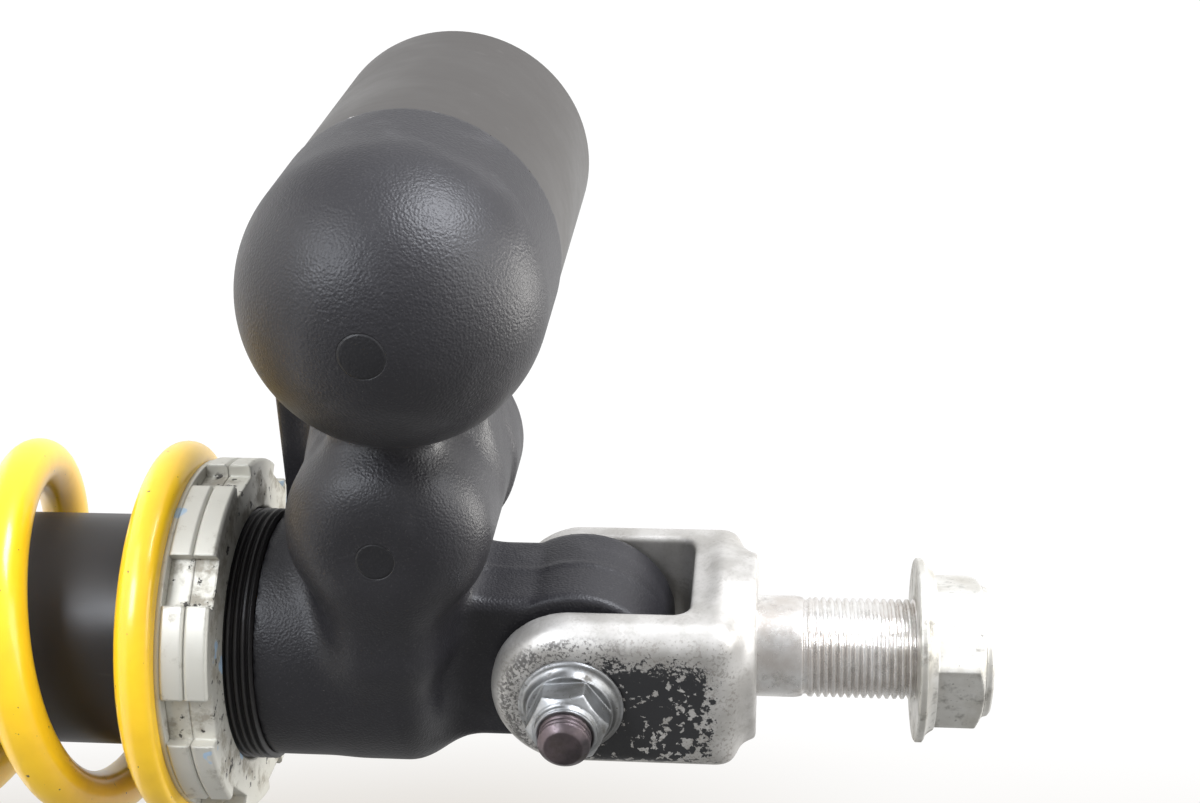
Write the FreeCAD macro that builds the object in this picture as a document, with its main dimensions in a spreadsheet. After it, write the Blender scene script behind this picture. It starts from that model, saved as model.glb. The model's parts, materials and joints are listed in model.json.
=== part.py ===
"""Rear shock absorber of a sport motorcycle, as a parametric FreeCAD document.

The damper hangs upright from its threaded upper stud. +Z is the damper's axis, up. The origin is the
centre of the bracket's shoulder, where the stud starts. Y is the upper pivot bolt's axis. The gas
reservoir stands off towards -X. Every size is a cell of the sheet, in millimetres.
"""

import FreeCAD, Part  # noqa: E401
import math
import os

import Sketcher

doc = FreeCAD.newDocument("rear_shock_absorber")
sheet = doc.addObject("Spreadsheet::Sheet", "sizes")
Vec = FreeCAD.Vector


# ---- sizes: each can be set by itself ----

SIZES = {
    # upper bracket and its stud
    "stud_radius": 9.9, "stud_thread_depth": 0.9, "shank_rise": 0.2, "stud_shank_length": 8.9,
    "stud_length": 45.4, "fine_pitch": 1.5, "shoulder_radius": 18.2, "shoulder_height": 3.8,
    "base_thickness": 8.7, "pivot_drop": 35.0, "ear_half_width": 16.2, "ear_play": 1.5,
    "ear_thickness": 8.0, "ear_chamfer": 4.0, "window_radius": 3.5, "eye_relief": 1.5,
    # nut on the stud, whose top stands just past the stud's end
    "stud_nut_past_end": 0.6, "stud_nut_wall": 3.6, "stud_nut_height": 14.6, "stud_nut_flange": 4.7,
    "stud_nut_flange_height": 3.4, "stud_nut_collar_wall": 3.1, "stud_nut_collar_height": 1.6,
    # pivot bolt, its nut and collar
    "bolt_radius": 5.0, "bolt_hex_wall": 2.0, "bolt_flange_width": 5.0, "bolt_flange_height": 2.0,
    "bolt_head_height": 8.0, "bolt_nut_height": 10.0, "bolt_end": 4.0, "bolt_chamfer": 0.8,
    "collar_wall": 3.0,
    # eye of the head casting, its bush and seals
    "liner_wall": 1.6, "bush_wall": 2.4, "eye_wall": 6.2, "eye_width": 25.0, "eye_arm_half": 16.4,
    "seal_thickness": 1.2, "seal_gap": 0.3,
    # damper tube, the size that the head, threads and rings follow
    "tube_bore": 20.0, "tube_wall": 3.7, "tube_length": 131.6, "thread_rise": 1.8, "thread_depth": 0.9,
    "thread_length": 25.6, "spigot_wall": 1.9, "spigot_length": 13.0,
    # head casting
    "head_below_pivot": 27.5, "head_height": 33.9, "head_rise": 0.8, "head_corner": 7.0,
    "cavity_step": 0.2, "cavity_roof": 8.0,
    # boss for the compression valve, which lies across the head
    "boss_beside_head": 10.5, "boss_below_top": 6.5, "boss_wall": 6.6, "boss_front": 28.5,
    "boss_back": 24.0, "boss_corner": 12.0, "boss_flange": 0.8, "boss_flange_length": 12.0,
    "valve_bore": 13.0, "valve_bore_depth": 36.0, "passage_radius": 4.0,
    # gas reservoir
    "reservoir_gap": 1.1, "reservoir_below_top": 1.0, "dome_radius": 27.5, "dome_wall": 4.0,
    "dome_centre": 18.3, "skirt_end": 0.7, "tube_step": 0.3, "reservoir_length": 54.8,
    "reservoir_wall": 4.0, "reservoir_spigot": 11.0, "reservoir_spigot_wall": 1.6, "rolled_edge": 1.4,
    # neck and web that tie the reservoir to the boss
    "neck_place": 6.0, "rear_neck_width": 34.0, "rear_neck_near": 2.0, "rear_neck_far": 19.0,
    "web_near": 10.0, "web_far": 19.0, "web_margin": 4.0,
    # reservoir bladder, cap, ring and valve
    "bladder_gap": 0.8, "bladder_wall": 1.2, "cap_in_from_end": 17.5, "cap_height": 6.0,
    "cap_boss_radius": 8.0, "cap_boss_height": 3.0, "ring_section": 1.4, "ring_reach": 1.0,
    "valve_radius": 3.0, "valve_cap_radius": 5.0, "valve_cap_height": 8.0,
    # compression valve and its adjuster
    "plug_flats": 24.0, "plug_head": 6.0, "plug_length": 16.0, "spindle_radius": 4.0,
    "spindle_length": 20.0, "valve_piston_height": 6.0, "shim_height": 0.4, "valve_nut_wall": 2.5,
    "valve_nut_height": 4.0, "needle_radius": 1.6, "needle_length": 26.0, "adjuster_radius": 3.4,
    "adjuster_length": 11.0, "slot_width": 1.2, "slot_depth": 1.6,
    # seal head and what it holds
    "seal_head_height": 24.0, "rod_bush_wall": 1.5, "oil_seal_height": 6.0, "oil_seal_width": 7.0,
    "wiper_height": 4.0, "o_ring_section": 2.0, "end_cap_lip": 6.0, "end_cap_thickness": 2.5,
    "end_cap_rise": 1.5,
    # preload rings and spring seats
    "ring_width": 10.3, "ring_notch_depth": 3.0, "ring_notch_width": 10.0, "ring_notches": 8,
    "ring_turn": 41.2, "ring_thickness": 4.6, "ring_edge": 0.5, "ring_below_head": 14.8,
    "upper_seat_thickness": 1.0, "lower_seat_margin": 1.8, "lower_seat_thickness": 6.0,
    "lower_seat_rim": 3.0,
    # coil spring
    "spring_round_ring": 3.4, "wire_radius": 4.9, "spring_length": 190.0, "spring_pitch": 27.8,
    "spring_turn": 332.4,
    # piston rod and piston
    "rod_radius": 7.0, "rod_bore": 2.6, "rod_stem_step": 2.0, "rod_past_nut": 1.5,
    "rod_in_fork": 18.0, "piston_height": 18.0, "piston_band_height": 10.0, "piston_band_depth": 1.2,
    "piston_nut_wall": 3.5, "piston_nut_height": 7.0, "top_out_rubber_height": 5.0,
    "top_out_width": 4.0, "top_out_spacer_length": 26.8,
    # bump stop
    "bump_stop_length": 20.0, "bump_stop_width": 8.0, "bump_cup_width": 11.0, "bump_cup_height": 8.0,
    "bump_cup_wall": 1.2,
    # lower fork and the rebound adjuster
    "hub_wall": 7.0, "hub_rise": 2.25, "fork_flange": 5.0, "fork_flange_height": 4.8,
    "fork_block_height": 20.0, "fork_half_width": 14.5, "lower_pivot_below_block": 16.9,
    "fork_gap": 20.0, "fork_arm": 8.0, "lower_bore": 5.1, "push_rod_gap": 0.4,
    "push_rod_below_top": 14.3, "rebound_screw_radius": 3.5, "rebound_screw_length": 19.0,
    "rebound_below_rod": 8.0, "fork_edge": 1.5,
    # clearances
    "slip": 0.1, "running": 0.05, "hair": 0.2,
}


class Size:
    """A length that carries both its value and its formula in the sheet's terms."""

    def __init__(self, text, value):
        self.text, self.value = text, value

    def _with(self, other, sign, result):
        other_text = other.text if isinstance(other, Size) else repr(float(other))
        return Size(f"({self.text} {sign} {other_text})", result)

    def __add__(self, other):
        return self._with(other, "+", self.value + number(other))

    def __sub__(self, other):
        return self._with(other, "-", self.value - number(other))

    def __mul__(self, other):
        return self._with(other, "*", self.value * number(other))

    def __truediv__(self, other):
        return self._with(other, "/", self.value / number(other))

    def __neg__(self):
        return self * -1


def number(size):
    """The plain value of a Size or of a number."""
    return size.value if isinstance(size, Size) else float(size)


def fill_sheet():
    """Writes each size into its own named cell and returns them as Sizes."""
    made = {}
    for row, (name, value) in enumerate(SIZES.items(), start=1):
        sheet.set(f"A{row}", name)
        sheet.set(f"B{row}", str(value))
        sheet.setAlias(f"B{row}", name)
        made[name] = Size(f"sizes.{name}", float(value))
    doc.recompute()
    return made


S = fill_sheet()


def size(name):
    return S[name]


# ---- sizes that follow from others, so that what fits together changes together ----

S["stud_shank_radius"] = size("stud_radius") + size("shank_rise")
S["stud_nut_flats"] = (size("stud_radius") + size("stud_nut_wall")) * 2
S["stud_nut_collar_radius"] = size("stud_radius") + size("stud_nut_collar_wall")
S["stud_nut_flange_radius"] = size("stud_nut_flats") / 2 + size("stud_nut_flange")
S["stud_nut_place"] = size("stud_length") + size("stud_nut_past_end") - size("stud_nut_height")
S["ear_gap"] = size("eye_width") + size("ear_play") * 2
S["bolt_flats"] = (size("bolt_radius") + size("bolt_hex_wall")) * 2
S["bolt_flange_radius"] = size("bolt_radius") + size("bolt_flange_width")
S["collar_radius"] = size("bolt_radius") + size("collar_wall")
S["liner_radius"] = size("collar_radius") + size("liner_wall")
S["bush_radius"] = size("liner_radius") + size("bush_wall")
S["eye_radius"] = size("bush_radius") + size("eye_wall")
S["tube_radius"] = size("tube_bore") + size("tube_wall")
S["thread_radius"] = size("tube_radius") + size("thread_rise")
S["spigot_radius"] = size("tube_bore") + size("spigot_wall")
S["head_radius"] = size("tube_radius") + size("head_rise")
S["cavity_radius"] = size("tube_bore") - size("cavity_step")
S["head_top"] = size("pivot_drop") + size("head_below_pivot")
S["head_bottom"] = size("head_top") + size("head_height")
S["boss_radius"] = size("valve_bore") + size("boss_wall")
S["boss_flange_radius"] = size("boss_radius") + size("boss_flange")
S["boss_offset"] = size("head_radius") + size("boss_beside_head")
S["boss_drop"] = size("head_top") + size("boss_below_top")
S["reservoir_offset"] = (size("boss_offset") + size("boss_flange_radius") + size("reservoir_gap")
                         + size("dome_radius"))
S["reservoir_drop"] = size("head_top") + size("reservoir_below_top")
S["reservoir_end"] = size("skirt_end") + size("reservoir_length")
S["cap_place"] = size("reservoir_end") - size("cap_in_from_end")
S["valve_nut_flats"] = (size("spindle_radius") + size("valve_nut_wall")) * 2
S["tube_bottom"] = size("head_bottom") + size("tube_length")
S["thread_end"] = size("head_bottom") + size("thread_length")
S["oil_seal_radius"] = size("rod_radius") + size("oil_seal_width")
S["end_cap_radius"] = size("tube_radius") + size("end_cap_rise")
S["ring_radius"] = size("thread_radius") + size("ring_width")
S["adjuster_ring_bottom"] = size("head_bottom") + size("ring_below_head")
S["spring_outer_radius"] = size("ring_radius") + size("spring_round_ring")
S["lower_seat_radius"] = size("spring_outer_radius") + size("lower_seat_margin")
S["rod_thread_radius"] = size("rod_radius") - size("rod_stem_step")
S["piston_nut_flats"] = (size("rod_thread_radius") + size("piston_nut_wall")) * 2
S["top_out_radius"] = size("rod_radius") + size("top_out_width")
S["bump_stop_radius"] = size("rod_radius") + size("bump_stop_width")
S["bump_cup_radius"] = size("rod_radius") + size("bump_cup_width")
S["hub_radius"] = size("rod_radius") + size("hub_wall")
S["fork_flange_radius"] = size("hub_radius") + size("fork_flange")
S["push_rod_radius"] = size("rod_bore") - size("push_rod_gap")


def bind(target, path, value):
    """Ties one property of an object to a formula of the sheet."""
    if isinstance(value, Size):
        target.setExpression(path, value.text)


# ---- building blocks ----

bodies = []


def new_body(label):
    made = doc.addObject("PartDesign::Body", label)
    made.Label = label
    bodies.append(made)
    return made


def plane_of(body, role):
    return next(f for f in body.Origin.OriginFeatures if f.Role == role)


def new_sketch(body, role, lift=0.0):
    """A sketch on one of the body's own planes, lifted along the plane's normal."""
    sketch = body.newObject("Sketcher::SketchObject", body.Name + "_sketch")
    sketch.AttachmentSupport = [(plane_of(body, role), "")]
    sketch.MapMode = "FlatFace"
    sketch.AttachmentOffset = FreeCAD.Placement(Vec(0, 0, number(lift)), FreeCAD.Rotation())
    bind(sketch, "AttachmentOffset.Base.z", lift)
    return sketch


def pin_point(sketch, line, across, up):
    """Ties the start of a line to its two coordinates, each a formula."""
    for kind, coordinate, axis in (("DistanceX", across, -2), ("DistanceY", up, -1)):
        if not isinstance(coordinate, Size) and coordinate == 0:
            sketch.addConstraint(Sketcher.Constraint("PointOnObject", line, 1, axis))
            continue
        index = sketch.addConstraint(Sketcher.Constraint(kind, -1, 1, line, 1, number(coordinate)))
        bind(sketch, f"Constraints[{index}]", coordinate)


def outline(sketch, points):
    """Draws a closed outline of straight lines, with every corner tied to the sheet."""
    first = sketch.GeometryCount
    places = [Vec(number(a), number(b), 0) for a, b in points]
    count = len(points)
    for i in range(count):
        sketch.addGeometry(Part.LineSegment(places[i], places[(i + 1) % count]))
    for i in range(count):
        following = first + (i + 1) % count
        sketch.addConstraint(Sketcher.Constraint("Coincident", first + i, 2, following, 1))
    for i, (across, up) in enumerate(points):
        pin_point(sketch, first + i, across, up)


def turned(body, points):
    """Turns an outline of (radius, height) about the body's own Z axis."""
    sketch = new_sketch(body, "XZ_Plane")
    outline(sketch, points)
    feature = body.newObject("PartDesign::Revolution", body.Name + "_turned")
    feature.Profile = sketch
    feature.ReferenceAxis = (sketch, ["V_Axis"])
    feature.Angle = 360
    sketch.Visibility = False
    return feature


def grooved(body, points):
    """Cuts an outline of (radius, height), turned about the body's own Z axis, out of the body."""
    sketch = new_sketch(body, "XZ_Plane")
    outline(sketch, points)
    feature = body.newObject("PartDesign::Groove", body.Name + "_groove")
    feature.Profile = sketch
    feature.ReferenceAxis = (sketch, ["V_Axis"])
    feature.Angle = 360
    return feature


def ring(label, inner, outer, low, high):
    """A plain ring about the body's Z axis."""
    body = new_body(label)
    turned(body, [(inner, low), (outer, low), (outer, high), (inner, high)])
    return body


def polygon(sides, flats):
    """Corners of a regular polygon with a given size across its flats."""
    reach = flats / (2 * math.cos(math.pi / sides))
    turns = [2 * math.pi * (i + 0.5) / sides for i in range(sides)]
    return [(reach * math.cos(turn), reach * math.sin(turn)) for turn in turns]


def padded(body, points, low, high, role="XY_Plane"):
    """Pads an outline from low to high along a plane's normal."""
    sketch = new_sketch(body, role, low)
    outline(sketch, points)
    feature = body.newObject("PartDesign::Pad", body.Name + "_pad")
    feature.Profile = sketch
    feature.Length = number(high) - number(low)
    bind(feature, "Length", high - low)
    return feature


def primitive(body, kind, place, lengths, turn=None):
    """Adds or cuts a PartDesign primitive; place and lengths are formulas."""
    feature = body.newObject("PartDesign::" + kind, body.Name + "_" + kind)
    rotation = turn or FreeCAD.Rotation()
    feature.Placement = FreeCAD.Placement(Vec(*(number(p) for p in place)), rotation)
    for axis, part in zip("xyz", place):
        bind(feature, f"Placement.Base.{axis}", part)
    for name, length in lengths.items():
        setattr(feature, name, number(length))
        bind(feature, name, length)
    return feature


def block(body, low, high, cut=False):
    """A box between two corners."""
    lengths = {n: h - l for n, l, h in zip(("Length", "Width", "Height"), low, high)}
    return primitive(body, "SubtractiveBox" if cut else "AdditiveBox", low, lengths)


ALONG_Y = FreeCAD.Rotation(Vec(1, 0, 0), -90)
ALONG_X = FreeCAD.Rotation(Vec(0, 1, 0), 90)


def rod_along(body, turn, start, radius, length, cut=False):
    """A cylinder from start, along Y or X as turn says."""
    kind = "SubtractiveCylinder" if cut else "AdditiveCylinder"
    return primitive(body, kind, start, {"Radius": radius, "Height": length}, turn)


def lay_across(body, along_x, along_z):
    """Lays a body's own Z axis along +Y, through the given X and Z."""
    body.Placement = FreeCAD.Placement(Vec(number(along_x), 0, number(along_z)), ALONG_Y)
    bind(body, "Placement.Base.x", along_x)
    bind(body, "Placement.Base.z", along_z)
    return body


def turn_about_axis(body, degrees):
    """Turns a whole body about its own Z axis."""
    body.Placement = FreeCAD.Placement(Vec(0, 0, 0), FreeCAD.Rotation(Vec(0, 0, 1), degrees.value))
    body.setExpression("Placement.Rotation.Angle", f"{degrees.text} * 1 deg")


def round_edges(body, radius, chosen, kind="Fillet"):
    """Rounds or chamfers the edges of the body's shape that chosen() picks."""
    doc.recompute()
    tip = body.Tip
    names = [f"Edge{i}" for i, edge in enumerate(tip.Shape.Edges, start=1) if chosen(edge)]
    feature = body.newObject("PartDesign::" + kind, body.Name + "_" + kind)
    feature.Base = (tip, names)
    name = "Radius" if kind == "Fillet" else "Size"
    setattr(feature, name, number(radius))
    bind(feature, name, radius)
    return feature


def all_near(edge, axis, place):
    """Whether every point of an edge has the given coordinate along an axis."""
    tolerance = 0.01
    spread = [edge.valueAt(edge.FirstParameter + k * (edge.LastParameter - edge.FirstParameter) / 4)
              for k in range(5)]
    return all(abs(point[axis] - place) < tolerance for point in spread)


def thread(radius, depth, low, high, pitch):
    """Crests and roots of a thread between two heights, from high to low, as rings of one pitch."""
    turns = int((number(high) - number(low)) / number(pitch))
    points = []
    for turn in range(turns):
        points.append((radius, high - pitch * (turn + 0.3)))
        points.append((radius - depth, high - pitch * (turn + 0.75)))
        points.append((radius, high - pitch * (turn + 1.0)))
    return points


# ---- upper bracket, which carries the stud ----

PIVOT = -size("pivot_drop")
EAR_IN = size("ear_gap") / 2
EAR_OUT = EAR_IN + size("ear_thickness")
BASE_TOP = -size("shoulder_height")
BASE_IN = BASE_TOP - size("base_thickness")
HALF = size("ear_half_width")


def upper_bracket():
    body = new_body("upper_bracket")
    crest, shank = size("stud_radius"), size("stud_shank_radius")
    top = size("stud_length")
    points = [(0, BASE_TOP), (size("shoulder_radius"), BASE_TOP), (size("shoulder_radius"), -size("hair") * 2),
              (size("shoulder_radius") - size("hair") * 2, 0), (shank, 0), (shank, size("stud_shank_length"))]
    threads = thread(crest, size("stud_thread_depth"), size("stud_shank_length") + size("fine_pitch"), top,
                     size("fine_pitch"))
    points += list(reversed(threads)) + [(crest - 1, top), (0, top)]
    turned(body, points)
    block(body, (-HALF, -EAR_OUT, BASE_IN), (HALF, EAR_OUT, BASE_TOP))
    for side in (-1, 1):
        low, high = (-EAR_OUT, -EAR_IN) if side < 0 else (EAR_IN, EAR_OUT)
        block(body, (-HALF, low, PIVOT), (HALF, high, BASE_IN))
        rod_along(body, ALONG_Y, (0, low, PIVOT), HALF, high - low)
    rod_along(body, ALONG_Y, (0, -EAR_OUT, PIVOT), size("bolt_radius") + size("slip"), EAR_OUT * 2, cut=True)
    outside, crown = EAR_OUT.value, BASE_TOP.value
    round_edges(body, size("ear_chamfer"), lambda e: (all_near(e, 1, outside) or all_near(e, 1, -outside))
                and not all_near(e, 2, crown) and e.BoundBox.DiagonalLength > 15.0, "Chamfer")
    inside, window = EAR_IN.value, BASE_IN.value
    round_edges(body, size("window_radius"), lambda e: all_near(e, 2, window)
                and (all_near(e, 1, inside) or all_near(e, 1, -inside)))
    relief_half = size("eye_width") / 2 + size("hair") * 2
    rod_along(body, ALONG_Y, (0, -relief_half, PIVOT), size("eye_radius") + size("eye_relief"),
              relief_half * 2, cut=True)
    return body


def stud_nut():
    body = new_body("stud_nut")
    low = size("stud_nut_place")
    flange_top = low + size("stud_nut_flange_height")
    top = low + size("stud_nut_height")
    hex_top = top - size("stud_nut_collar_height")
    bore = size("stud_radius") + size("running")
    rim = size("stud_nut_flange_radius")
    flats = size("stud_nut_flats")
    padded(body, polygon(6, flats), low + size("hair"), hex_top)
    turned(body, [(0, low), (rim, low), (rim, low + 1.4), (flats / 2, flange_top), (0, flange_top)])
    turned(body, [(0, hex_top), (size("stud_nut_collar_radius"), hex_top),
                  (size("stud_nut_collar_radius") - 0.8, top), (0, top)])
    grooved(body, [(0, low - 1), (bore, low - 1), (bore, top + 1), (0, top + 1)])
    return body


def hex_with_flange(body, flats, flange, low, flange_top, top):
    """A hexagon that stands on a round flange, along the body's Z axis."""
    padded(body, polygon(6, flats), low + size("hair"), top)
    turned(body, [(0, low), (flange, low), (flange, low + 0.9), (flats / 2, flange_top), (0, flange_top)])


def pivot_bolt():
    body = new_body("pivot_bolt")
    head = EAR_OUT
    shank = size("bolt_radius")
    tip = -(EAR_OUT + size("bolt_nut_height") + size("bolt_end"))
    turned(body, [(0, head + size("hair")), (shank, head + size("hair")), (shank, tip + size("bolt_chamfer")),
                  (shank - size("bolt_chamfer"), tip), (0, tip)])
    hex_with_flange(body, size("bolt_flats"), size("bolt_flange_radius"), head,
                    head + size("bolt_flange_height"), head + size("bolt_head_height"))
    return lay_across(body, 0, PIVOT)


def pivot_nut():
    body = new_body("pivot_nut")
    face = -EAR_OUT
    flange_top = face - size("bolt_flange_height")
    end = face - size("bolt_nut_height")
    flats, flange = size("bolt_flats"), size("bolt_flange_radius")
    padded(body, polygon(6, flats), end + 1.2, face - size("hair"))
    turned(body, [(0, face), (flange, face), (flange, face - 0.9), (flats / 2, flange_top), (0, flange_top)])
    turned(body, [(0, end), (flats / 2 - 0.9, end), (flats / 2 - 0.3, end + 1.4), (0, end + 1.4)])
    bore = size("bolt_radius") + size("running")
    grooved(body, [(0, end - 1), (bore, end - 1), (bore, face + 1), (0, face + 1)])
    return lay_across(body, 0, PIVOT)


def across_pivot(label, inner, outer, low, high):
    return lay_across(ring(label, inner, outer, low, high), 0, PIVOT)


def pivot_parts():
    half_eye = size("eye_width") / 2
    across_pivot("pivot_collar", size("bolt_radius") + size("slip"), size("collar_radius"), -EAR_IN, EAR_IN)
    across_pivot("upper_bush_shell", size("liner_radius"), size("bush_radius"), -half_eye, half_eye)
    across_pivot("upper_bush_liner", size("collar_radius") + size("running"), size("liner_radius"),
                 -half_eye, half_eye)
    seals = new_body("upper_dust_seals")
    inner, outer = size("collar_radius") + size("seal_gap"), size("bush_radius") + 1
    for side in (-1, 1):
        near, far = half_eye * side, (half_eye + size("seal_thickness")) * side
        turned(seals, [(inner, near), (outer, near), (outer - 0.5, far), (inner, far)])
    lay_across(seals, 0, PIVOT)


# ---- head casting: eye, damper head, valve boss and reservoir dome in one piece ----

HEAD_TOP = -size("head_top")
HEAD_BOTTOM = -size("head_bottom")
BOSS_X, BOSS_Z = -size("boss_offset"), -size("boss_drop")
DOME_X, DOME_Z = -size("reservoir_offset"), -size("reservoir_drop")
DOME_Y = -size("dome_centre")


def head_casting():
    body = new_body("head_casting")
    corner, head = size("head_corner"), size("head_radius")
    cut = corner * (1 - math.sqrt(0.5))
    turned(body, [(0, HEAD_BOTTOM), (head, HEAD_BOTTOM), (head, HEAD_TOP - corner), (head - cut, HEAD_TOP - cut),
                  (head - corner, HEAD_TOP), (0, HEAD_TOP)])
    half_eye, arm = size("eye_width") / 2, size("eye_arm_half")
    block(body, (-arm, -half_eye, HEAD_TOP - corner), (arm, half_eye, PIVOT))
    rod_along(body, ALONG_Y, (0, -half_eye, PIVOT), size("eye_radius"), half_eye * 2)
    # the web behind stands between the head's lower edge and the reservoir
    web_edge = DOME_X + size("dome_radius") + size("web_margin")
    block(body, (web_edge, size("web_near"), HEAD_BOTTOM), (-head * 0.8, size("web_far"), BOSS_Z))
    # the neck joins the boss to the dome, and is wider at the back
    width = size("rear_neck_width") / 2
    block(body, (DOME_X + 10, size("rear_neck_near") - size("dome_centre"), BOSS_Z - width),
          (BOSS_X, size("skirt_end"), BOSS_Z + width))
    beside = DOME_X + size("dome_radius") + size("hair")
    block(body, (beside, size("skirt_end") - 1, BOSS_Z - width), (BOSS_X, size("rear_neck_far"), BOSS_Z + width))
    rod_along(body, ALONG_Y, (BOSS_X, -(size("boss_front") - size("boss_corner")), BOSS_Z), size("boss_radius"),
              size("boss_front") - size("boss_corner") + size("boss_back"))
    rod_along(body, ALONG_Y, (BOSS_X, size("boss_back") - size("boss_flange_length"), BOSS_Z),
              size("boss_flange_radius"), size("boss_flange_length"))
    primitive(body, "AdditiveEllipsoid", (BOSS_X, -(size("boss_front") - size("boss_corner")), BOSS_Z),
              {"Radius1": size("boss_corner"), "Radius2": size("boss_radius"), "Radius3": size("boss_radius"),
               "Angle1": -90, "Angle2": 0, "Angle3": 360}, ALONG_Y)
    half = {"Angle1": -90, "Angle2": 0, "Angle3": 360}
    primitive(body, "AdditiveSphere", (DOME_X, DOME_Y, DOME_Z), {"Radius": size("dome_radius"), **half}, ALONG_Y)
    rod_along(body, ALONG_Y, (DOME_X, DOME_Y, DOME_Z), size("dome_radius"), size("skirt_end") - DOME_Y)
    hollow_head(body)
    return body


def hollow_head(body):
    """Cuts the casting's bores: head cavity, valve bore, reservoir, eye and the two oil passages."""
    half_eye = size("eye_width") / 2
    spigot_bore = size("spigot_radius") + size("running")
    spigot_top = HEAD_BOTTOM + size("spigot_length") + size("hair")
    roof = HEAD_TOP - size("cavity_roof")
    grooved(body, [(0, HEAD_BOTTOM - 1), (spigot_bore, HEAD_BOTTOM - 1), (spigot_bore, spigot_top),
                   (size("cavity_radius"), spigot_top), (size("cavity_radius"), roof), (0, roof)])
    rod_along(body, ALONG_Y, (0, -half_eye - 1, PIVOT), size("bush_radius"), half_eye * 2 + 2, cut=True)
    bore_end = size("boss_back") - size("valve_bore_depth")
    rod_along(body, ALONG_Y, (BOSS_X, bore_end, BOSS_Z), size("valve_bore"), size("valve_bore_depth") + 1, cut=True)
    hollow = size("dome_radius") - size("dome_wall")
    primitive(body, "SubtractiveSphere", (DOME_X, DOME_Y, DOME_Z), {"Radius": hollow}, ALONG_Y)
    rod_along(body, ALONG_Y, (DOME_X, DOME_Y, DOME_Z), hollow, size("skirt_end") + 1 - DOME_Y, cut=True)
    seat = SPIGOT_OUT + size("running")
    rod_along(body, ALONG_Y, (DOME_X, -size("reservoir_spigot") - size("hair"), DOME_Z), seat,
              size("reservoir_spigot") + size("skirt_end") + 1, cut=True)
    rod_along(body, ALONG_X, (BOSS_X, size("neck_place"), BOSS_Z - 4), size("passage_radius"),
              size("boss_offset"), cut=True)
    rod_along(body, ALONG_X, (DOME_X, -size("neck_place") - 4, BOSS_Z), size("passage_radius"),
              size("reservoir_offset") - size("boss_offset"), cut=True)


# ---- reservoir, laid along +Y ----

TUBE_OUT = size("dome_radius") - size("tube_step")
TUBE_IN = TUBE_OUT - size("reservoir_wall")
SPIGOT_OUT = TUBE_IN + size("reservoir_spigot_wall")


def on_reservoir(body):
    return lay_across(body, DOME_X, DOME_Z)


def reservoir_parts():
    face = size("skirt_end") + size("running")
    end, edge = size("reservoir_end"), size("rolled_edge")
    cap_low = size("cap_place")
    cap_high = cap_low + size("cap_height")
    section, reach = size("ring_section"), size("ring_reach")
    ring_low, ring_high = cap_high + size("slip"), cap_high + size("slip") * 3 + section
    tube = new_body("reservoir_tube")
    turned(tube, [(TUBE_IN, -size("reservoir_spigot")), (SPIGOT_OUT, -size("reservoir_spigot")),
                  (SPIGOT_OUT, face), (TUBE_OUT, face), (TUBE_OUT, end - edge), (TUBE_OUT - edge * 0.3, end - edge * 0.3),
                  (TUBE_OUT - edge, end), (TUBE_IN + edge, end), (TUBE_IN, end - edge), (TUBE_IN, ring_high),
                  (TUBE_IN + reach, ring_high), (TUBE_IN + reach, ring_low), (TUBE_IN, ring_low)])
    on_reservoir(tube)

    bladder = new_body("reservoir_bladder")
    outer = TUBE_IN - size("bladder_gap")
    inner = outer - size("bladder_wall")
    round_off = outer * 0.35
    turned(bladder, [(0, -size("reservoir_spigot")), (outer - round_off, -size("reservoir_spigot")),
                     (outer, round_off - size("reservoir_spigot")), (outer, cap_low - size("slip")),
                     (inner, cap_low - size("slip")), (inner, round_off - size("reservoir_spigot") + 0.5),
                     (inner - round_off, size("bladder_wall") - size("reservoir_spigot")),
                     (0, size("bladder_wall") - size("reservoir_spigot"))])
    on_reservoir(bladder)

    cap = new_body("reservoir_cap")
    rim, groove = TUBE_IN - size("running"), size("o_ring_section")
    waist, boss = cap_low + size("cap_height") / 2, size("cap_boss_radius")
    boss_high = cap_high + size("cap_boss_height")
    turned(cap, [(size("valve_radius") + size("running"), cap_low), (rim, cap_low), (rim, waist - groove / 2),
                 (rim - groove, waist - groove / 2), (rim - groove, waist + groove / 2),
                 (rim, waist + groove / 2), (rim, cap_high), (boss, cap_high), (boss, boss_high),
                 (size("valve_radius") + size("running"), boss_high)])
    on_reservoir(cap)
    on_reservoir(ring("reservoir_cap_o_ring", rim - groove + size("running"), TUBE_IN - size("running") / 2,
                      waist - groove / 2 + size("running"), waist + groove / 2 - size("running")))
    snap = ring("reservoir_snap_ring", TUBE_IN - 2, TUBE_IN + reach - size("running"),
                ring_low + size("running"), ring_high - size("running"))
    block(snap, (-size("ring_section") * 3, TUBE_IN - 4, cap_high - 1), (size("ring_section") * 3, TUBE_IN + 4,
                                                                       ring_high + 1), cut=True)
    on_reservoir(snap)
    valve = new_body("gas_valve")
    stem_high = boss_high + size("valve_cap_height") - 2
    turned(valve, [(0.8, cap_low - 2), (size("valve_radius") + 1, cap_low - 2), (size("valve_radius") + 1, cap_low),
                   (size("valve_radius"), cap_low), (size("valve_radius"), boss_high),
                   (size("valve_radius") + 0.6, boss_high), (size("valve_radius") + 0.6, stem_high), (0.8, stem_high)])
    on_reservoir(valve)
    lid = new_body("gas_valve_cap")
    hole, over = size("valve_radius") + 0.6 + size("running"), size("valve_cap_radius")
    turned(lid, [(hole, boss_high + size("hair")), (over, boss_high + size("hair")),
                 (over, boss_high + size("valve_cap_height") - 0.6), (over - 0.6, boss_high + size("valve_cap_height")),
                 (0, boss_high + size("valve_cap_height")), (0, stem_high + size("slip")),
                 (hole, stem_high + size("slip"))])
    on_reservoir(lid)


# ---- compression valve in the boss, laid along +Y ----

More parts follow.
